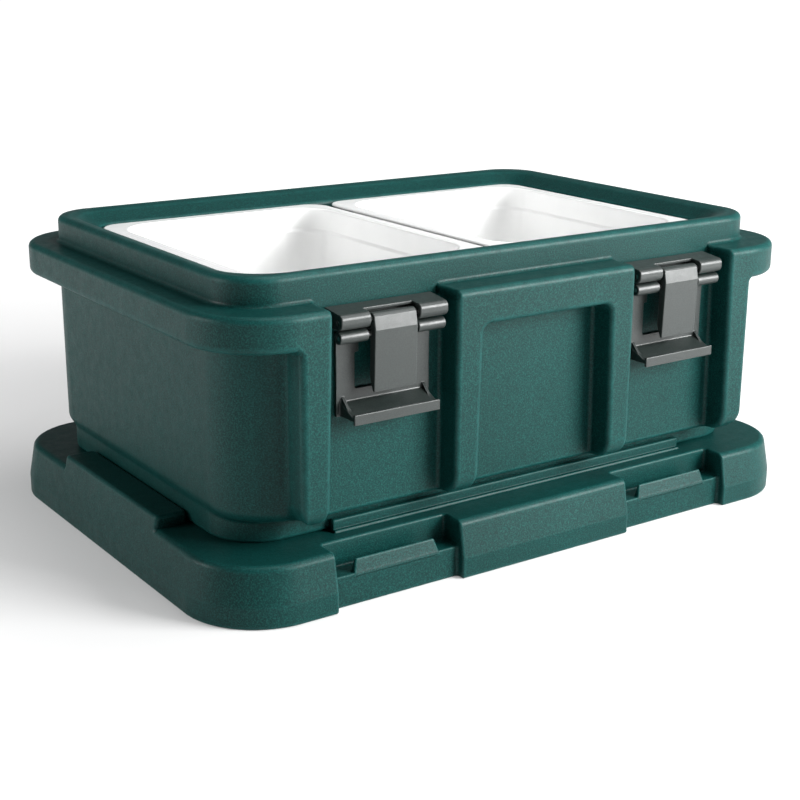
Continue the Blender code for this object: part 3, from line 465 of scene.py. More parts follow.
def well_field(x, y, z):
    """The pan well, the ledge that the pans hang on and the sloping mouth inside the rim."""
    ledge_plan = plan(x, y, LEDGE_HALF, LEDGE_CORNER)
    rise = RIM_HALF[0] - 0.012 - LEDGE_HALF[0]
    steep = rise / (RIM_TOP_Z - LIP_Z)
    mouth = (ledge_plan - steep * (z - LIP_Z)) / math.hypot(1, steep)
    opening = concave(ledge_plan, mouth, 0.002)
    opening = convex(opening, LEDGE_Z - z, 0.0012)
    pull = 0.006 * np.clip(draft(z, WELL_FLOOR_Z, LEDGE_Z), 0, 1)
    well = convex(plan(x, y, WELL_HALF, WELL_CORNER) + pull, WELL_FLOOR_Z - z, 0.012)
    return concave(opening, well, 0.0025)


def carrier_field(x, y, z):
    """The carrier's outer surface, well included."""
    wall_plan = plan(x, y, WALL_HALF, WALL_CORNER)
    wall = convex(wall_plan, WALL_Z - z, 0.012)
    wall = np.maximum(wall, z - FLANGE_TOP_Z + 0.004)
    foot = convex(plan(x, y, FOOT_HALF, FOOT_CORNER), FOOT_Z - z, 0.004)
    foot = np.maximum(foot, z - WALL_Z - 0.020)
    post_half = (FLANGE_HALF[0] - FLANGE_CORNER, FLANGE_HALF[1])
    posts = convex(plan(x, y, post_half, 0.006), WALL_Z - z, 0.022)
    posts = np.maximum(posts, z - FLANGE_TOP_Z + 0.012)
    outer = plan(x, y, FLANGE_HALF, FLANGE_CORNER)
    flange = convex(outer, FLANGE_Z - z, FLANGE_ROUND)
    flange = convex(flange, z - FLANGE_TOP_Z, FLANGE_ROUND)
    form = concave(wall, foot, 0.003)
    form = concave(form, posts, 0.005)
    form = np.maximum(concave(form, flange, 0.005), outer)
    form = cut(form, recess_field(x, y, z), 0.0045)
    # the plain wall behind the recesses stays whole
    core = np.maximum(wall_plan + 0.0006, span(z, WALL_Z + 0.015, FLANGE_TOP_Z - 0.004))
    form = np.minimum(form, core)
    rim = convex(plan(x, y, RIM_HALF, RIM_CORNER), z - RIM_TOP_Z, 0.006)
    rim = np.maximum(rim, FLANGE_TOP_Z - 0.014 - z)
    form = np.minimum(cut(concave(form, rim, 0.004), notch_field(x, y, z), 0.003), rim)
    form = cut(form, well_field(x, y, z), 0.003)
    return cut(form, port_field(x, y, z, FOOT_Z), PORT_ROUND)


def carrier_foam_field(x, y, z):
    """The foam inside the carrier's skin, clear of the brass inserts."""
    foam = carrier_field(x, y, z) + SKIN
    boss = disc(np.abs(np.abs(x) - LATCH_X), z, (SCREW_X, SCREW_Z), 0.0080)
    boss = np.maximum(boss, RECESS_Y - 0.020 - np.abs(y))
    return cut(foam, boss, 0.002)


# ---------------------------------------------------------------- lid
def pocket_field(x, y, z):
    """The stepped latch pockets in the lid's long sides."""
    out_x = np.abs(x)
    out_y = np.abs(y)
    lower = FLANGE_HALF[1] - out_y
    upper = convex(SHELF_Z - z, GROOVE_Y - out_y, 0.002)
    step = concave(lower, upper, 0.0012)
    return convex(span(out_x, LATCH_X - POCKET_HALF, LATCH_X + POCKET_HALF), step, 0.003)


def ridge_field(x, y, z):
    """The ridges that the latches hook over, leaning on both faces and at both ends."""
    out_x = np.abs(np.abs(x) - LATCH_X)
    out_y = np.abs(y)
    rise = z - SHELF_Z
    faces = np.maximum(out_y - FLANGE_HALF[1] + RIDGE_LEAN * rise, RIDGE_Y - out_y + 0.08 * rise)
    ends = out_x - RIDGE_HALF + 0.0035 - RIDGE_LEAN * (RIDGE_Z - z)
    ridge = convex(convex(faces, z - RIDGE_Z, 0.0009), ends, 0.0015)
    return np.maximum(ridge, SHELF_Z - 0.003 - z)


def lid_lean(z):
    """How far the lid's side leans in above its crease."""
    return LID_TAPER * np.clip((z - LID_CREASE) / (LID_TOP - LID_ROUND - LID_CREASE), 0, 1.5)


def rib_field(x, y, z):
    """Stepped ribs along the sides and wide raised ends, which hold the carrier's foot."""
    out_x = np.abs(x)
    out_y = np.abs(y)
    side = convex(span(out_y, *RIB_Y), out_x - RIB_HALF, 0.0015)
    side = convex(side, z - LID_RIB_TOP, 0.0014)
    toe = convex(span(out_y, RIB_Y[0], RIB_Y[1] + 0.003), out_x - RIB_HALF, 0.0012)
    toe = convex(toe, z - LID_TOP - 0.0022, 0.0010)
    outer = plan(x, y, LID_HALF, LID_CORNER) + lid_lean(z)
    end = convex(FOOT_HALF[0] + 0.0015 - out_x, outer, 0.004)
    end = convex(convex(end, out_y - END_RIB_HALF, 0.004), z - LID_RIB_TOP, 0.003)
    ribs = np.minimum(np.minimum(side, toe), end)
    return np.maximum(ribs, LID_TOP - 0.012 - z)


def lid_field(x, y, z):
    """The lid's outer surface, underside included."""
    side = plan(x, y, LID_HALF, LID_CORNER) + lid_lean(z)
    form = convex(convex(side, -z, 0.0025), z - LID_TOP, LID_ROUND)
    form = cut(form, pocket_field(x, y, z), 0.0022)
    form = concave(form, ridge_field(x, y, z), 0.0008)
    form = np.maximum(concave(form, rib_field(x, y, z), 0.0015), side)
    channel = convex(plan(x, y, CHANNEL_HALF, RIM_CORNER), z - CHANNEL_Z, 0.004)
    form = cut(form, channel, 0.002)
    panel = convex(plan(x, y, PANEL_HALF, PANEL_CORNER), PANEL_Z - z, 0.004)
    panel = np.maximum(panel, z - LID_TOP + 0.010)
    form = concave(form, panel, 0.004)
    return cut(form, port_field(x, y, z, PANEL_Z), PORT_ROUND)


# ---------------------------------------------------------------- pans
def pan_field(x, y, z):
    """A half-size pan about its own middle: drafted walls, a rounded floor and a turned-out rim."""
    rim_z = PAN_HIGH.z - PAN_RIM_THICK
    pull = PAN_DRAFT * draft(z, PAN_LOW.z, rim_z)
    body = plan(x, y, (PAN_HALF[0] - PAN_RIM_OUT, PAN_HALF[1] - PAN_RIM_OUT), PAN_CORNER)
    outer = convex(body + pull, PAN_LOW.z - z, 0.010)
    outer = np.maximum(outer, z - PAN_HIGH.z + 0.0013)
    rim = convex(plan(x, y, PAN_HALF, PAN_RIM_CORNER), span(z, rim_z, PAN_HIGH.z), 0.0012)
    shoulder = 0.0012 * np.clip((PAN_HIGH.z - PAN_STEP_DROP - z) / 0.003, 0, 1)
    inner = convex(body + PAN_WALL + pull + shoulder, PAN_LOW.z + PAN_WALL - z, 0.014)
    return cut(concave(outer, rim, 0.0025), inner, 0.0020)


# ---------------------------------------------------------------- latches
def brick(x, y, z, half_x, low, high, radius):
    """A block between two x planes, low and high giving (y, z)."""
    section = convex(span(y, low[0], high[0]), span(z, low[1], high[1]), radius)
    return convex(section, span(np.abs(x), *half_x), radius)


def bracket_field(x, y, z):
    """Fixed bracket: two hooded noses round the upper pin, a top plate and a tab for the screws."""
    top = BRACKET_TOP_Z
    front = BRACKET_BACK_Y - SHEET
    out_x = np.abs(x)
    pivot_y, pivot_z = PIVOT[1], PIVOT[2]
    nose_x = (NOSE_INNER, NOSE_OUTER)
    level = z - BRACKET_RISE * np.maximum(y - pivot_y, 0)
    hood = convex(span(y, pivot_y - NOSE_RADIUS, pivot_y + NOSE_RADIUS), z - top, HOOD_ROUND)
    hood = np.maximum(np.maximum(hood, pivot_z - z), y - pivot_y)
    nose = np.minimum(disc(y, z, (pivot_y, pivot_z), NOSE_RADIUS), hood)
    nose = convex(nose, span(out_x, *nose_x), 0.0010)
    form = brick(x, y, level, nose_x, (pivot_y, top - SHEET), (BRACKET_EDGE_Y, top), 0.0006)
    form = concave(form, nose, 0.0010)
    for web_x in ((NOSE_INNER, NOSE_INNER + SHEET), (NOSE_OUTER - SHEET, NOSE_OUTER)):
        web = brick(x, y, z, web_x, (pivot_y, pivot_z - NOSE_RADIUS + 0.0004), (BRACKET_BACK_Y, top), 0.0005)
        form = concave(form, web, 0.0008)
    centre_front = pivot_y + BARREL_ROOM
    wide = (NO_LIMIT, NOSE_OUTER)
    narrow = (NO_LIMIT, NOSE_INNER - 0.001)
    centre = brick(x, y, level, wide, (centre_front, top - SHEET), (BRACKET_EDGE_Y, top), 0.0006)
    back = brick(x, y, z, wide, (front, BRACKET_HIGH.z - 0.0135), (BRACKET_BACK_Y, top), 0.0006)
    tab = brick(x, y, z, narrow, (front, BRACKET_LOW.z), (BRACKET_BACK_Y, top), 0.0008)
    form = concave(concave(concave(form, centre, 0.0008), back, 0.0010), tab, 0.0008)
    allowed = np.minimum(y - BRACKET_BACK_Y, np.maximum(y - BRACKET_EDGE_Y, top - SHEET - level))
    form = np.maximum(np.maximum(form, allowed), np.maximum(level - top, out_x - NOSE_OUTER))
    form = cut(form, disc(y, z, (pivot_y, pivot_z), BORE_RADIUS), 0.0004)
    hole = np.maximum(disc(out_x, z, (SCREW_X, SCREW_Z), SCREW_HOLE_RADIUS), -y - 0.2200)
    return cut(form, hole, 0.0003)


def handle_field(x, y, z):
    """Toggle handle: a bent strap with side walls, a barrel on the upper pin and lugs below it."""
    out_x = np.abs(x)
    pivot = (PIVOT[1], PIVOT[2])
    toggle = (TOGGLE[1], TOGGLE[2])
    tip_z = HANDLE_LOW.z
    bend = (pivot[0] - 0.0072, pivot[1] - 0.0095)
    tip = (pivot[0] - 0.0056, tip_z)
    shoulder = (pivot[0] - 0.0047, pivot[1] + 0.0030)
    strap = [shoulder, bend, tip, (tip[0] + SHEET, tip_z), (bend[0] + SHEET, bend[1]), pivot]
    deep = pivot[0] + 0.0012
    side = [
        shoulder, bend, tip, (tip[0] + SHEET, tip_z), (tip[0] + 0.0075, tip_z + 0.012),
        (deep, toggle[1] - LUG_RADIUS), (deep, bend[1] + 0.001), pivot,
    ]
    form = convex(outline(y, z, strap, 0.0007), out_x - HANDLE_HALF, 0.0011)
    walls = convex(outline(y, z, side, 0.0007), span(out_x, HANDLE_HALF - SHEET, HANDLE_HALF), 0.0009)
    barrel = convex(disc(y, z, pivot, BARREL_RADIUS), out_x - HANDLE_HALF, 0.0011)
    form = np.minimum(np.minimum(form, walls), barrel)
    lug_x = (HANDLE_HALF - SHEET - 0.001, HANDLE_HALF)
    lug = convex(disc(y, z, toggle, LUG_RADIUS), span(out_x, *lug_x), 0.0006)
    form = np.minimum(form, lug)
    form = cut(form, disc(y, z, pivot, BORE_RADIUS), 0.0003)
    return cut(form, disc(y, z, toggle, BORE_RADIUS), 0.0003)


def bail_field(x, y, z):
    """Bail: knuckles on the lower pin, two arms beside the handle and a hooked shelf below."""
    out_x = np.abs(x)
    toggle = (TOGGLE[1], TOGGLE[2])
    bar_low = BAIL_LOW.z + 0.0030
    bar_top = bar_low + 0.0230
    front = PLATE_BACK_Y - SHEET
    lip_y = BAIL_LOW.y
    half_sheet = SHEET / 2
    top = toggle[1] + half_sheet
    bar = brick(x, y, z, (NO_LIMIT, BAIL_ARM_HIGH), (front, bar_low), (PLATE_BACK_Y, bar_top), 0.0008)
    arms = brick(x, y, z, (BAIL_ARM_LOW, BAIL_ARM_HIGH), (front, bar_low), (PLATE_BACK_Y, top), 0.0008)
    head_low = (front, toggle[1] - 0.0176)
    head = brick(x, y, z, (KNUCKLE_INNER, BAIL_ARM_HIGH), head_low, (PLATE_BACK_Y, top), 0.0006)
    plate = concave(concave(bar, arms, 0.0020), head, 0.0015)
    plate = np.maximum(plate, span(y, front, PLATE_BACK_Y))
    plate = np.maximum(plate, np.maximum(out_x - BAIL_ARM_HIGH, bar_low - z))
    leaf_low = (toggle[0], toggle[1] - half_sheet)
    leaf = brick(x, y, z, (KNUCKLE_INNER, BAIL_ARM_HIGH), leaf_low, (PLATE_BACK_Y, top), 0.0006)
    form = np.maximum(concave(plate, leaf, 0.0012), y - PLATE_BACK_Y)
    knuckle_x = (KNUCKLE_INNER, NOSE_OUTER - 0.0005)
    knuckle = convex(disc(y, z, toggle, KNUCKLE_RADIUS), span(out_x, *knuckle_x), 0.0009)
    form = concave(form, knuckle, 0.0010)
    lip_back = lip_y + SHEET
    shelf = [
        (PLATE_BACK_Y - half_sheet, bar_low), (PLATE_BACK_Y - half_sheet, bar_low + SHELF_RISE),
        (front, bar_low + SHELF_RISE), (lip_back + 0.0015, bar_low + 0.0040), (lip_back, bar_low + 0.0040),
        (lip_back - 0.0003, bar_low + 0.0065), (lip_y, bar_low + 0.0065),
        (lip_y, bar_low - 0.0030), (lip_back - 0.0003, bar_low - 0.0030), (lip_back, bar_low),
    ]
    form = concave(form, convex(outline(y, z, shelf, 0.0007), out_x - SHELF_HALF, 0.0008), 0.0010)
    gusset_front = lip_y + 0.0075
    gusset_top = bar_top - 0.006
    gusset = [
        (front + half_sheet, bar_low + half_sheet), (front + half_sheet, gusset_top),
        (front - 0.001, gusset_top), (gusset_front, bar_low + SHEET), (gusset_front, bar_low + half_sheet),
    ]
    gusset_x = (SHELF_HALF - 0.001 - SHEET, SHELF_HALF - 0.001)
    form = np.maximum(form, np.maximum(y - PLATE_BACK_Y, lip_y - y))
    form = concave(form, convex(outline(y, z, gusset), span(out_x, *gusset_x), 0.0005), 0.0008)
    return cut(form, disc(y, z, toggle, BORE_RADIUS), 0.0003)


# ---------------------------------------------------------------- small turned pieces
def turned(name, profile):
    """A solid of revolution about X: profile lists (x, radius) from end to end."""
    steps = TURN_STEPS
    points = [(profile[0][0], 0.0, 0.0)]
    for x, radius in profile:
        for step in range(steps):
            angle = 2 * math.pi * step / steps
            points.append((x, radius * math.cos(angle), radius * math.sin(angle)))
    points.append((profile[-1][0], 0.0, 0.0))
    last = len(points) - 1
    faces = []
    for step in range(steps):
        after = (step + 1) % steps
        faces.append((0, 1 + after, 1 + step))
        faces.append((last, last - steps + step, last - steps + after))
        for ring in range(len(profile) - 1):
            near = 1 + ring * steps
            far = near + steps
            faces.append((near + step, near + after, far + after, far + step))
    mesh = bpy.data.meshes.new(name)
    mesh.from_pydata(points, [], faces)
    mesh.shade_smooth()
    mesh.set_sharp_from_angle(angle=math.radians(40))
    return mesh


def pin_mesh():
    """A hinge pin with rounded ends."""
    half = (PIN_HIGH.x - PIN_LOW.x) / 2
    nose = []
    for degrees in (15, 45, 75):
        angle = math.radians(90 - degrees)
        x = half - PIN_NOSE * (1 - math.sin(angle))
        nose.append((x, PIN_RADIUS - PIN_NOSE + PIN_NOSE * math.cos(angle)))
    profile = [(-x, radius) for x, radius in nose] + [(x, radius) for x, radius in reversed(nose)]
    return turned("pin", profile)


def screw_field(x, y, z):
    """A pan-head screw with a cross recess, about its own axis, from its head's face at y = 0 towards +Y."""
    head_thick = 0.0020
    dome_radius = 0.0062
    shank_radius = 0.0016
    slot_half_width = 0.0004
    slot_half_length = 0.0019
    slot_depth = 0.0013
    head = convex(np.hypot(x, z) - SCREW_RADIUS, span(y, 0.0, head_thick), 0.0008)
    dome = np.sqrt(x * x + z * z + (y - dome_radius) ** 2) - dome_radius
    head = np.maximum(head, dome)
    shank = convex(np.hypot(x, z) - shank_radius, span(y, 0.001, SCREW_LENGTH), 0.0004)
    form = concave(head, shank, 0.0002)
    slot_a = np.maximum(np.abs(x) - slot_half_width, np.abs(z) - slot_half_length + y)
    slot_b = np.maximum(np.abs(z) - slot_half_width, np.abs(x) - slot_half_length + y)
    cross = np.maximum(np.minimum(slot_a, slot_b), y - slot_depth)
    return cut(form, cross, 0.0001)


def plug_mesh(node):
    """A fill plug: a disc with a rounded edge, a raised ring and a small dimple in its face."""
    low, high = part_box(node)
    radius = (high.x - low.x) / 2
    thick = high.z - low.z
    sunk = 0.0006
    edge = 0.0003
    face = [
        (0.0, 0.0010), (sunk, 0.0022), (sunk, radius * 0.50), (0.0, radius * 0.56),
        (0.0, radius * 0.66), (sunk, radius * 0.72), (sunk, radius * 0.84), (0.0, radius * 0.89),
        (0.0001, radius - 0.0005), (sunk, radius),
    ]
    profile = face + [(thick - edge, radius), (thick, radius - edge)]
    mesh = turned(node, profile)
    mesh.transform(Matrix.Rotation(-math.pi / 2, 4, "Y"))
    mesh.transform(Matrix.Translation(((low.x + high.x) / 2, (low.y + high.y) / 2, low.z)))
    return mesh


# ---------------------------------------------------------------- materials
def add_node(tree, kind, inputs=None, **settings):
    """A shader node with its settings, and its inputs linked or set."""
    made = tree.nodes.new(kind)
    for key, value in settings.items():
        setattr(made, key, value)
    for socket, value in (inputs or {}).items():
        if isinstance(value, bpy.types.NodeSocket):
            tree.links.new(value, made.inputs[socket])
        else:
            made.inputs[socket].default_value = value
    return made


def new_material(name):
    """An empty material, and the object's own coordinates as its texture space."""
    material = bpy.data.materials.new(name)
    material.use_nodes = True
    tree = material.node_tree
    tree.nodes.clear()
    return material, tree, add_node(tree, "ShaderNodeTexCoord").outputs["Object"]


def grain(tree, place, scale, detail, stretch=(1, 1, 1)):
    """Noise with about scale patches to the metre."""
    moved = add_node(tree, "ShaderNodeMapping", {"Vector": place, "Scale": stretch})
    texture = add_node(
        tree, "ShaderNodeTexNoise",
        {"Vector": moved.outputs["Vector"], "Scale": scale, "Detail": detail, "Roughness": 0.6},
    )
    return texture.outputs["Fac"]


def ramp(tree, value, stops):
    """A colour ramp through (position, colour) stops; the first two are its ends."""
    made = add_node(tree, "ShaderNodeValToRGB", {"Fac": value})
    elements = made.color_ramp.elements
    for index, (position, colour) in enumerate(stops):
        element = elements[index] if index < 2 else elements.new(position)
        element.position = position
        element.color = (*colour, 1)
    return made.outputs["Color"]


def remap(tree, value, low, high, start=0.3, end=0.7):
    """A value from start..end turned to low..high."""
    made = add_node(
        tree, "ShaderNodeMapRange",
        {"Value": value, "From Min": start, "From Max": end, "To Min": low, "To Max": high},
    )
    return made.outputs["Result"]


def blended(tree, factor, first, second, kind="MIX"):
    """Two colours mixed."""
    made = add_node(tree, "ShaderNodeMix", data_type="RGBA", blend_type=kind)
    for socket, value in ((0, factor), (6, first), (7, second)):
        if isinstance(value, bpy.types.NodeSocket):
            tree.links.new(value, made.inputs[socket])
        else:
            made.inputs[socket].default_value = value
    return made.outputs[2]


def times(tree, first, second):
    """Two values multiplied."""
    made = add_node(tree, "ShaderNodeMath", {0: first, 1: second}, operation="MULTIPLY")
    return made.outputs[0]


def bumped(tree, height, strength, distance):
    """A normal tilted by a height."""
    made = add_node(tree, "ShaderNodeBump", {"Height": height, "Strength": strength, "Distance": distance})
    return made.outputs["Normal"]


def finished(tree, inputs):
    """The surface shader, joined to the material's output."""
    shader = add_node(tree, "ShaderNodeBsdfPrincipled", inputs)
    output = add_node(tree, "ShaderNodeOutputMaterial")
    tree.links.new(shader.outputs["BSDF"], output.inputs["Surface"])


def edge_wear_and_sheen_mask(tree):
    """How strongly a point lies on an outer edge, for edge wear and the painted edge highlight."""
    return add_node(tree, "ShaderNodeAttribute", attribute_name="worn_edge").outputs["Fac"]


def carrier_plastic():
    """Rotation-moulded plastic: deep green with a fine pale fleck, paler outer edges that are part wear and
    part painted highlight, and a slight orange peel.
    """
    material, tree, place = new_material("carrier_plastic")
    fleck = grain(tree, place, 780, 3.0)
    deep, green, pale = (0.0008, 0.019, 0.018), (0.0016, 0.034, 0.031), (0.0055, 0.062, 0.056)
    colour = ramp(tree, fleck, ((0.34, deep), (0.66, pale), (0.5, green)))
    broad = remap(tree, grain(tree, place, 8, 3.0), 0.90, 1.10)
    tone = add_node(tree, "ShaderNodeCombineColor", {"Red": broad, "Green": broad, "Blue": broad})
    colour = blended(tree, 1.0, colour, tone.outputs["Color"], "MULTIPLY")
    # paler outer edges: partly wear, partly a painted highlight standing in for the sheen of light on the
    # rounds
    edge_rub_and_sheen = times(tree, edge_wear_and_sheen_mask(tree), remap(tree, grain(tree, place, 60, 4.0), 0.10, 0.42))
    colour = blended(tree, edge_rub_and_sheen, colour, (0.013, 0.098, 0.091, 1))
    peel = bumped(tree, grain(tree, place, 240, 2.0), 0.22, 0.0006)
    finished(tree, {
        "Base Color": colour, "Roughness": remap(tree, grain(tree, place, 90, 3.0), 0.40, 0.50),
        "IOR": 1.5, "Specular IOR Level": 0.16, "Normal": peel,
    })
    return material


def pan_plastic():
    """Glossy white plastic with a faint unevenness from moulding."""
    material, tree, place = new_material("pan_plastic")
    white, bright = (0.90, 0.905, 0.90), (0.93, 0.93, 0.925)
    colour = ramp(tree, grain(tree, place, 14, 3.0), ((0.35, white), (0.65, bright)))
    finished(tree, {
        "Base Color": colour, "Roughness": remap(tree, grain(tree, place, 40, 3.0), 0.16, 0.24), "IOR": 1.5,
        "Normal": bumped(tree, grain(tree, place, 90, 1.0), 0.10, 0.0004),
    })
    return material


def latch_nylon():
    """Charcoal filled nylon: satin, finely stippled, greyer where edges rub."""
    material, tree, place = new_material("latch_nylon")
    black, charcoal = (0.008, 0.0125, 0.0115), (0.018, 0.025, 0.023)
    colour = ramp(tree, grain(tree, place, 900, 2.0), ((0.35, black), (0.65, charcoal)))
    edge_rub_and_sheen = times(tree, edge_wear_and_sheen_mask(tree), remap(tree, grain(tree, place, 150, 3.0), 0.05, 0.45))
    colour = blended(tree, edge_rub_and_sheen, colour, (0.085, 0.095, 0.093, 1))
    finished(tree, {
        "Base Color": colour, "Roughness": remap(tree, grain(tree, place, 120, 3.0), 0.34, 0.46), "IOR": 1.53,
        "Normal": bumped(tree, grain(tree, place, 1200, 1.0), 0.12, 0.0002),
    })
    return material


def brushed_metal(name, dull, bright):
    """Drawn or turned metal, its grain running along X."""
    material, tree, place = new_material(name)
    lines = grain(tree, place, 900, 3.0, (0.04, 1, 1))
    finished(tree, {
        "Base Color": ramp(tree, lines, ((0.3, dull), (0.7, bright))), "Metallic": 1.0,
        "Roughness": remap(tree, lines, 0.24, 0.40), "Normal": bumped(tree, lines, 0.15, 0.0001),
    })
    return material


def foam_material():
    """Pale yellow foam with fine cells."""
    material, tree, place = new_material("foam")
    cells = add_node(tree, "ShaderNodeTexVoronoi", {"Vector": place, "Scale": 900})
    height = cells.outputs["Distance"]
    finished(tree, {
        "Base Color": ramp(tree, height, ((0.1, (0.62, 0.54, 0.34)), (0.7, (0.83, 0.76, 0.55)))),
        "Roughness": 0.9, "Normal": bumped(tree, height, 0.5, 0.0005),
    })
    return material


MATERIALS = {
    "carrier_plastic": carrier_plastic(), "pan_plastic": pan_plastic(), "latch_nylon": latch_nylon(),
    "pin_steel": brushed_metal("pin_steel", (0.42, 0.42, 0.42), (0.62, 0.62, 0.61)),
    "insert_brass": brushed_metal("insert_brass", (0.60, 0.43, 0.17), (0.80, 0.62, 0.30)),
    "foam": foam_material(),
}


# ---------------------------------------------------------------- pieces
# room round a form for the grid that its surface is found on
AIR = 0.004
SCREW_AIR = 0.0005


def piece(node, mesh, slot, body, place=None):
    """A piece that stands for a node, rides on a body and takes a slot's material."""
    made = show(node + "_form", mesh, place)
    if not mesh.materials:
        mesh.materials.append(MATERIALS[slot])
    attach(made, body)
    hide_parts(node)


def recoat(node, slot):
    """Give a CAD node that stays a better material."""
    materials = frame["nodes"][node].data.materials
    materials.clear()
    materials.append(MATERIALS[slot])


def middle(node):
    """The middle of a node's box."""
    low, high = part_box(node)
    return (low + high) / 2


piece("body_shell", form_mesh(
    "carrier_shell", carrier_field, (0, 0, FOOT_Z - AIR),
    (FLANGE_HALF[0] + AIR, FLANGE_HALF[1] + AIR, RIM_TOP_Z + AIR),
    cell=0.0016, triangles=180000, mirrors=(0, 1), round_size=0.005,
), "carrier_plastic", "carrier")
piece("body_foam", form_mesh(
    "carrier_foam", carrier_foam_field, (0, 0, FOOT_Z), (FLANGE_HALF[0], FLANGE_HALF[1], RIM_TOP_Z),
    cell=0.0035, triangles=36000, mirrors=(0, 1), round_size=0.005,
), "foam", "carrier")
piece("lid_shell", form_mesh(
    "lid_shell", lid_field, (0, 0, -AIR),
    (LID_HALF[0] + AIR, LID_HALF[1] + AIR, LID_RIB_TOP + AIR),
    cell=0.0014, triangles=170000, mirrors=(0, 1), round_size=0.003,
), "carrier_plastic", "lid")
for part, body in (("body", "carrier"), ("lid", "lid")):
    for side in ("left", "right"):
        node = f"{part}_fill_plug_{side}"
        piece(node, plug_mesh(node), "carrier_plastic", body)

pan_mesh = form_mesh(
    "pan", pan_field, (0, 0, PAN_LOW.z - AIR), (PAN_HALF[0] + AIR, PAN_HALF[1] + AIR, PAN_HIGH.z + AIR),
    cell=0.0011, triangles=60000, mirrors=(0, 1), round_size=0.0015,
)
for node in ("pan_left", "pan_right"):
    piece(node, pan_mesh, "pan_plastic", node, Matrix.Translation((middle(node).x, 0, 0)))

bracket_mesh = form_mesh(
    "bracket", bracket_field, (0, BRACKET_LOW.y - AIR, BRACKET_LOW.z - AIR),
    (NOSE_OUTER + AIR, BRACKET_HIGH.y + AIR, BRACKET_HIGH.z + AIR),
    cell=0.0005, triangles=24000, mirrors=(0,), round_size=0.0008,
)
handle_mesh = form_mesh(
    "handle", handle_field, (0, HANDLE_LOW.y - AIR, HANDLE_LOW.z - AIR),
    (HANDLE_HALF + AIR, HANDLE_HIGH.y + AIR, HANDLE_HIGH.z + AIR),
    cell=0.0005, triangles=20000, mirrors=(0,), round_size=0.0009,
)
bail_mesh = form_mesh(
    "bail", bail_field, (0, BAIL_LOW.y - AIR, BAIL_LOW.z - AIR),
    (BAIL_HIGH.x - LATCH_X + AIR, BAIL_HIGH.y + AIR, BAIL_HIGH.z + AIR),
    cell=0.0005, triangles=28000, mirrors=(0,), round_size=0.0008,
)
screw_mesh = form_mesh(
    "screw", screw_field, (0, -SCREW_AIR, 0),
    (SCREW_RADIUS + SCREW_AIR, SCREW_LENGTH + SCREW_AIR, SCREW_RADIUS + SCREW_AIR),
    cell=0.00018, triangles=8000, mirrors=(0, 2), round_size=0.0006,
)
pin = pin_mesh()
for latch, (side_x, side_y) in LATCHES.items():
    turn = Matrix.Rotation(0 if side_y > 0 else math.pi, 4, "Z")
    place = Matrix.Translation((side_x * LATCH_X, 0, 0)) @ turn
    piece(latch + "_bracket", bracket_mesh, "latch_nylon", "carrier", place)
    piece(latch + "_handle", handle_mesh, "latch_nylon", latch + "_handle", place)
    piece(latch + "_bail", bail_mesh, "latch_nylon", latch + "_bail", place)
    for node, body in ((latch + "_upper_pin", "carrier"), (latch + "_lower_pin", latch + "_handle")):
        piece(node, pin, "pin_steel", body, Matrix.Translation(middle(node)))
    for number in (1, 2):
        node = f"{latch}_screw_{number}"
        spot = middle(node)
        spot.y -= side_y * SCREW_LENGTH / 2
        piece(node, screw_mesh, "pin_steel", "carrier", Matrix.Translation(spot) @ turn)
        recoat(f"{latch}_insert_{number}", "insert_brass")
recoat("lid_foam", "foam")


# ---------------------------------------------------------------- floor, light and camera
def floor_piece():
    """A wide pale floor that glows softly away from the carrier, so that it runs out to white."""
    mesh = bpy.data.meshes.new("floor")
    reach = 40.0
    corners = [(x * reach, y * reach, LID_LOW.z) for x, y in ((-1, -1), (1, -1), (1, 1), (-1, 1))]
    mesh.from_pydata(corners, [], [(0, 1, 2, 3)])
    material, tree, place = new_material("floor")
    dull, bright = (0.595, 0.595, 0.595), (0.605, 0.605, 0.605)
    colour = ramp(tree, grain(tree, place, 3, 2.0), ((0.3, dull), (0.7, bright)))
    away = add_node(tree, "ShaderNodeVectorMath", {0: place}, operation="LENGTH").outputs["Value"]
    glow = remap(tree, away, low=0.25, high=0.97, start=0.5, end=2.0)
    finished(tree, {
        "Base Color": colour, "Roughness": 0.8, "IOR": 1.3,
        "Emission Color": (1, 1, 1, 1), "Emission Strength": glow,
    })
    mesh.materials.append(material)
    show("floor", mesh)


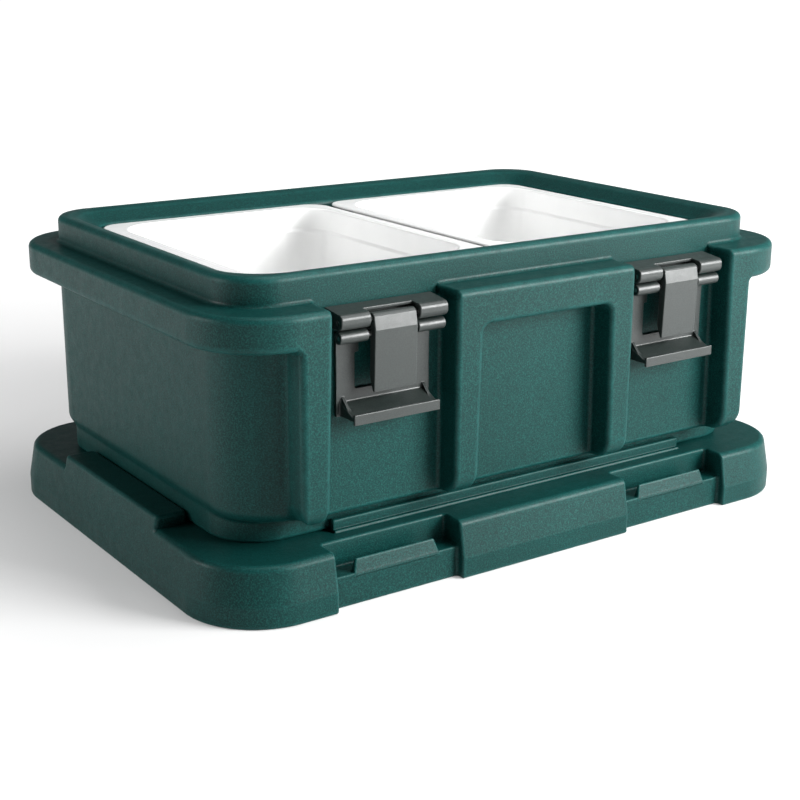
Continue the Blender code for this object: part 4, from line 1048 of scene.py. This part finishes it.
def studio_world():
    """Soft surroundings: bright low down, dim overhead and dark towards the left end, -X."""
    world = bpy.data.worlds.new("studio")
    world.use_nodes = True
    tree = world.node_tree
    tree.nodes.clear()
    direction = add_node(tree, "ShaderNodeTexCoord").outputs["Generated"]
    height = add_node(tree, "ShaderNodeSeparateXYZ", {"Vector": direction}).outputs["Z"]
    horizon, low_sky, zenith = (0.55, 0.56, 0.57), (0.27, 0.275, 0.28), (0.20, 0.205, 0.21)
    glow = ramp(tree, height, ((0.0, horizon), (1.0, zenith), (0.25, low_sky)))
    dark_side = (-0.97, -0.22, 0.10)
    towards = add_node(
        tree, "ShaderNodeVectorMath", {0: direction, 1: dark_side}, operation="DOT_PRODUCT",
    ).outputs["Value"]
    shade = remap(tree, towards, low=1.0, high=0.06, start=-0.6, end=0.5)
    tone = add_node(tree, "ShaderNodeCombineColor", {"Red": shade, "Green": shade, "Blue": shade})
    colour = blended(tree, 1.0, glow, tone.outputs["Color"], "MULTIPLY")
    background = add_node(tree, "ShaderNodeBackground", {"Color": colour, "Strength": 0.9})
    output = add_node(tree, "ShaderNodeOutputWorld")
    tree.links.new(background.outputs["Background"], output.inputs["Surface"])
    bpy.context.scene.world = world


def softbox(name, place, aim, size, power):
    """A square area light that faces a point."""
    light = bpy.data.lights.new(name, "AREA")
    light.shape = "SQUARE"
    light.size = size
    light.energy = power
    made = bpy.data.objects.new(name, light)
    bpy.context.scene.collection.objects.link(made)
    made.location = place
    made.rotation_euler = (Vector(aim) - Vector(place)).to_track_quat("-Z", "Y").to_euler()


def main_camera():
    """The camera, in front of the carrier's left front corner and looking down on it."""
    place = (-0.8675, -1.2476, 0.5531)
    yaw, pitch, roll = math.radians(34.71), math.radians(16.84), math.radians(0.32)
    forward = Vector((math.sin(yaw) * math.cos(pitch), math.cos(yaw) * math.cos(pitch), -math.sin(pitch)))
    right = Vector((math.cos(yaw), -math.sin(yaw), 0))
    up = right.cross(forward)
    across = right * math.cos(roll) + up * math.sin(roll)
    over = up * math.cos(roll) - right * math.sin(roll)
    data = bpy.data.cameras.new("camera")
    data.sensor_width = 36
    data.lens = 66.88
    camera = bpy.data.objects.new("camera", data)
    bpy.context.scene.collection.objects.link(camera)
    turn = Matrix((across, over, -forward)).transposed().to_4x4()
    camera.matrix_world = Matrix.Translation(place) @ turn
    bpy.context.scene.camera = camera


floor_piece()
studio_world()
softbox("key", place=(1.40, -1.90, 1.00), aim=(0.0, 0.0, 0.12), size=1.2, power=138)
softbox("left", place=(-2.0, 0.7, 0.65), aim=(0.0, 0.0, 0.10), size=0.9, power=22)
softbox("top", place=(0.35, -0.45, 1.9), aim=(0.0, 0.0, 0.2), size=1.4, power=25)
main_camera()
bpy.context.scene.view_settings.view_transform = "Standard"
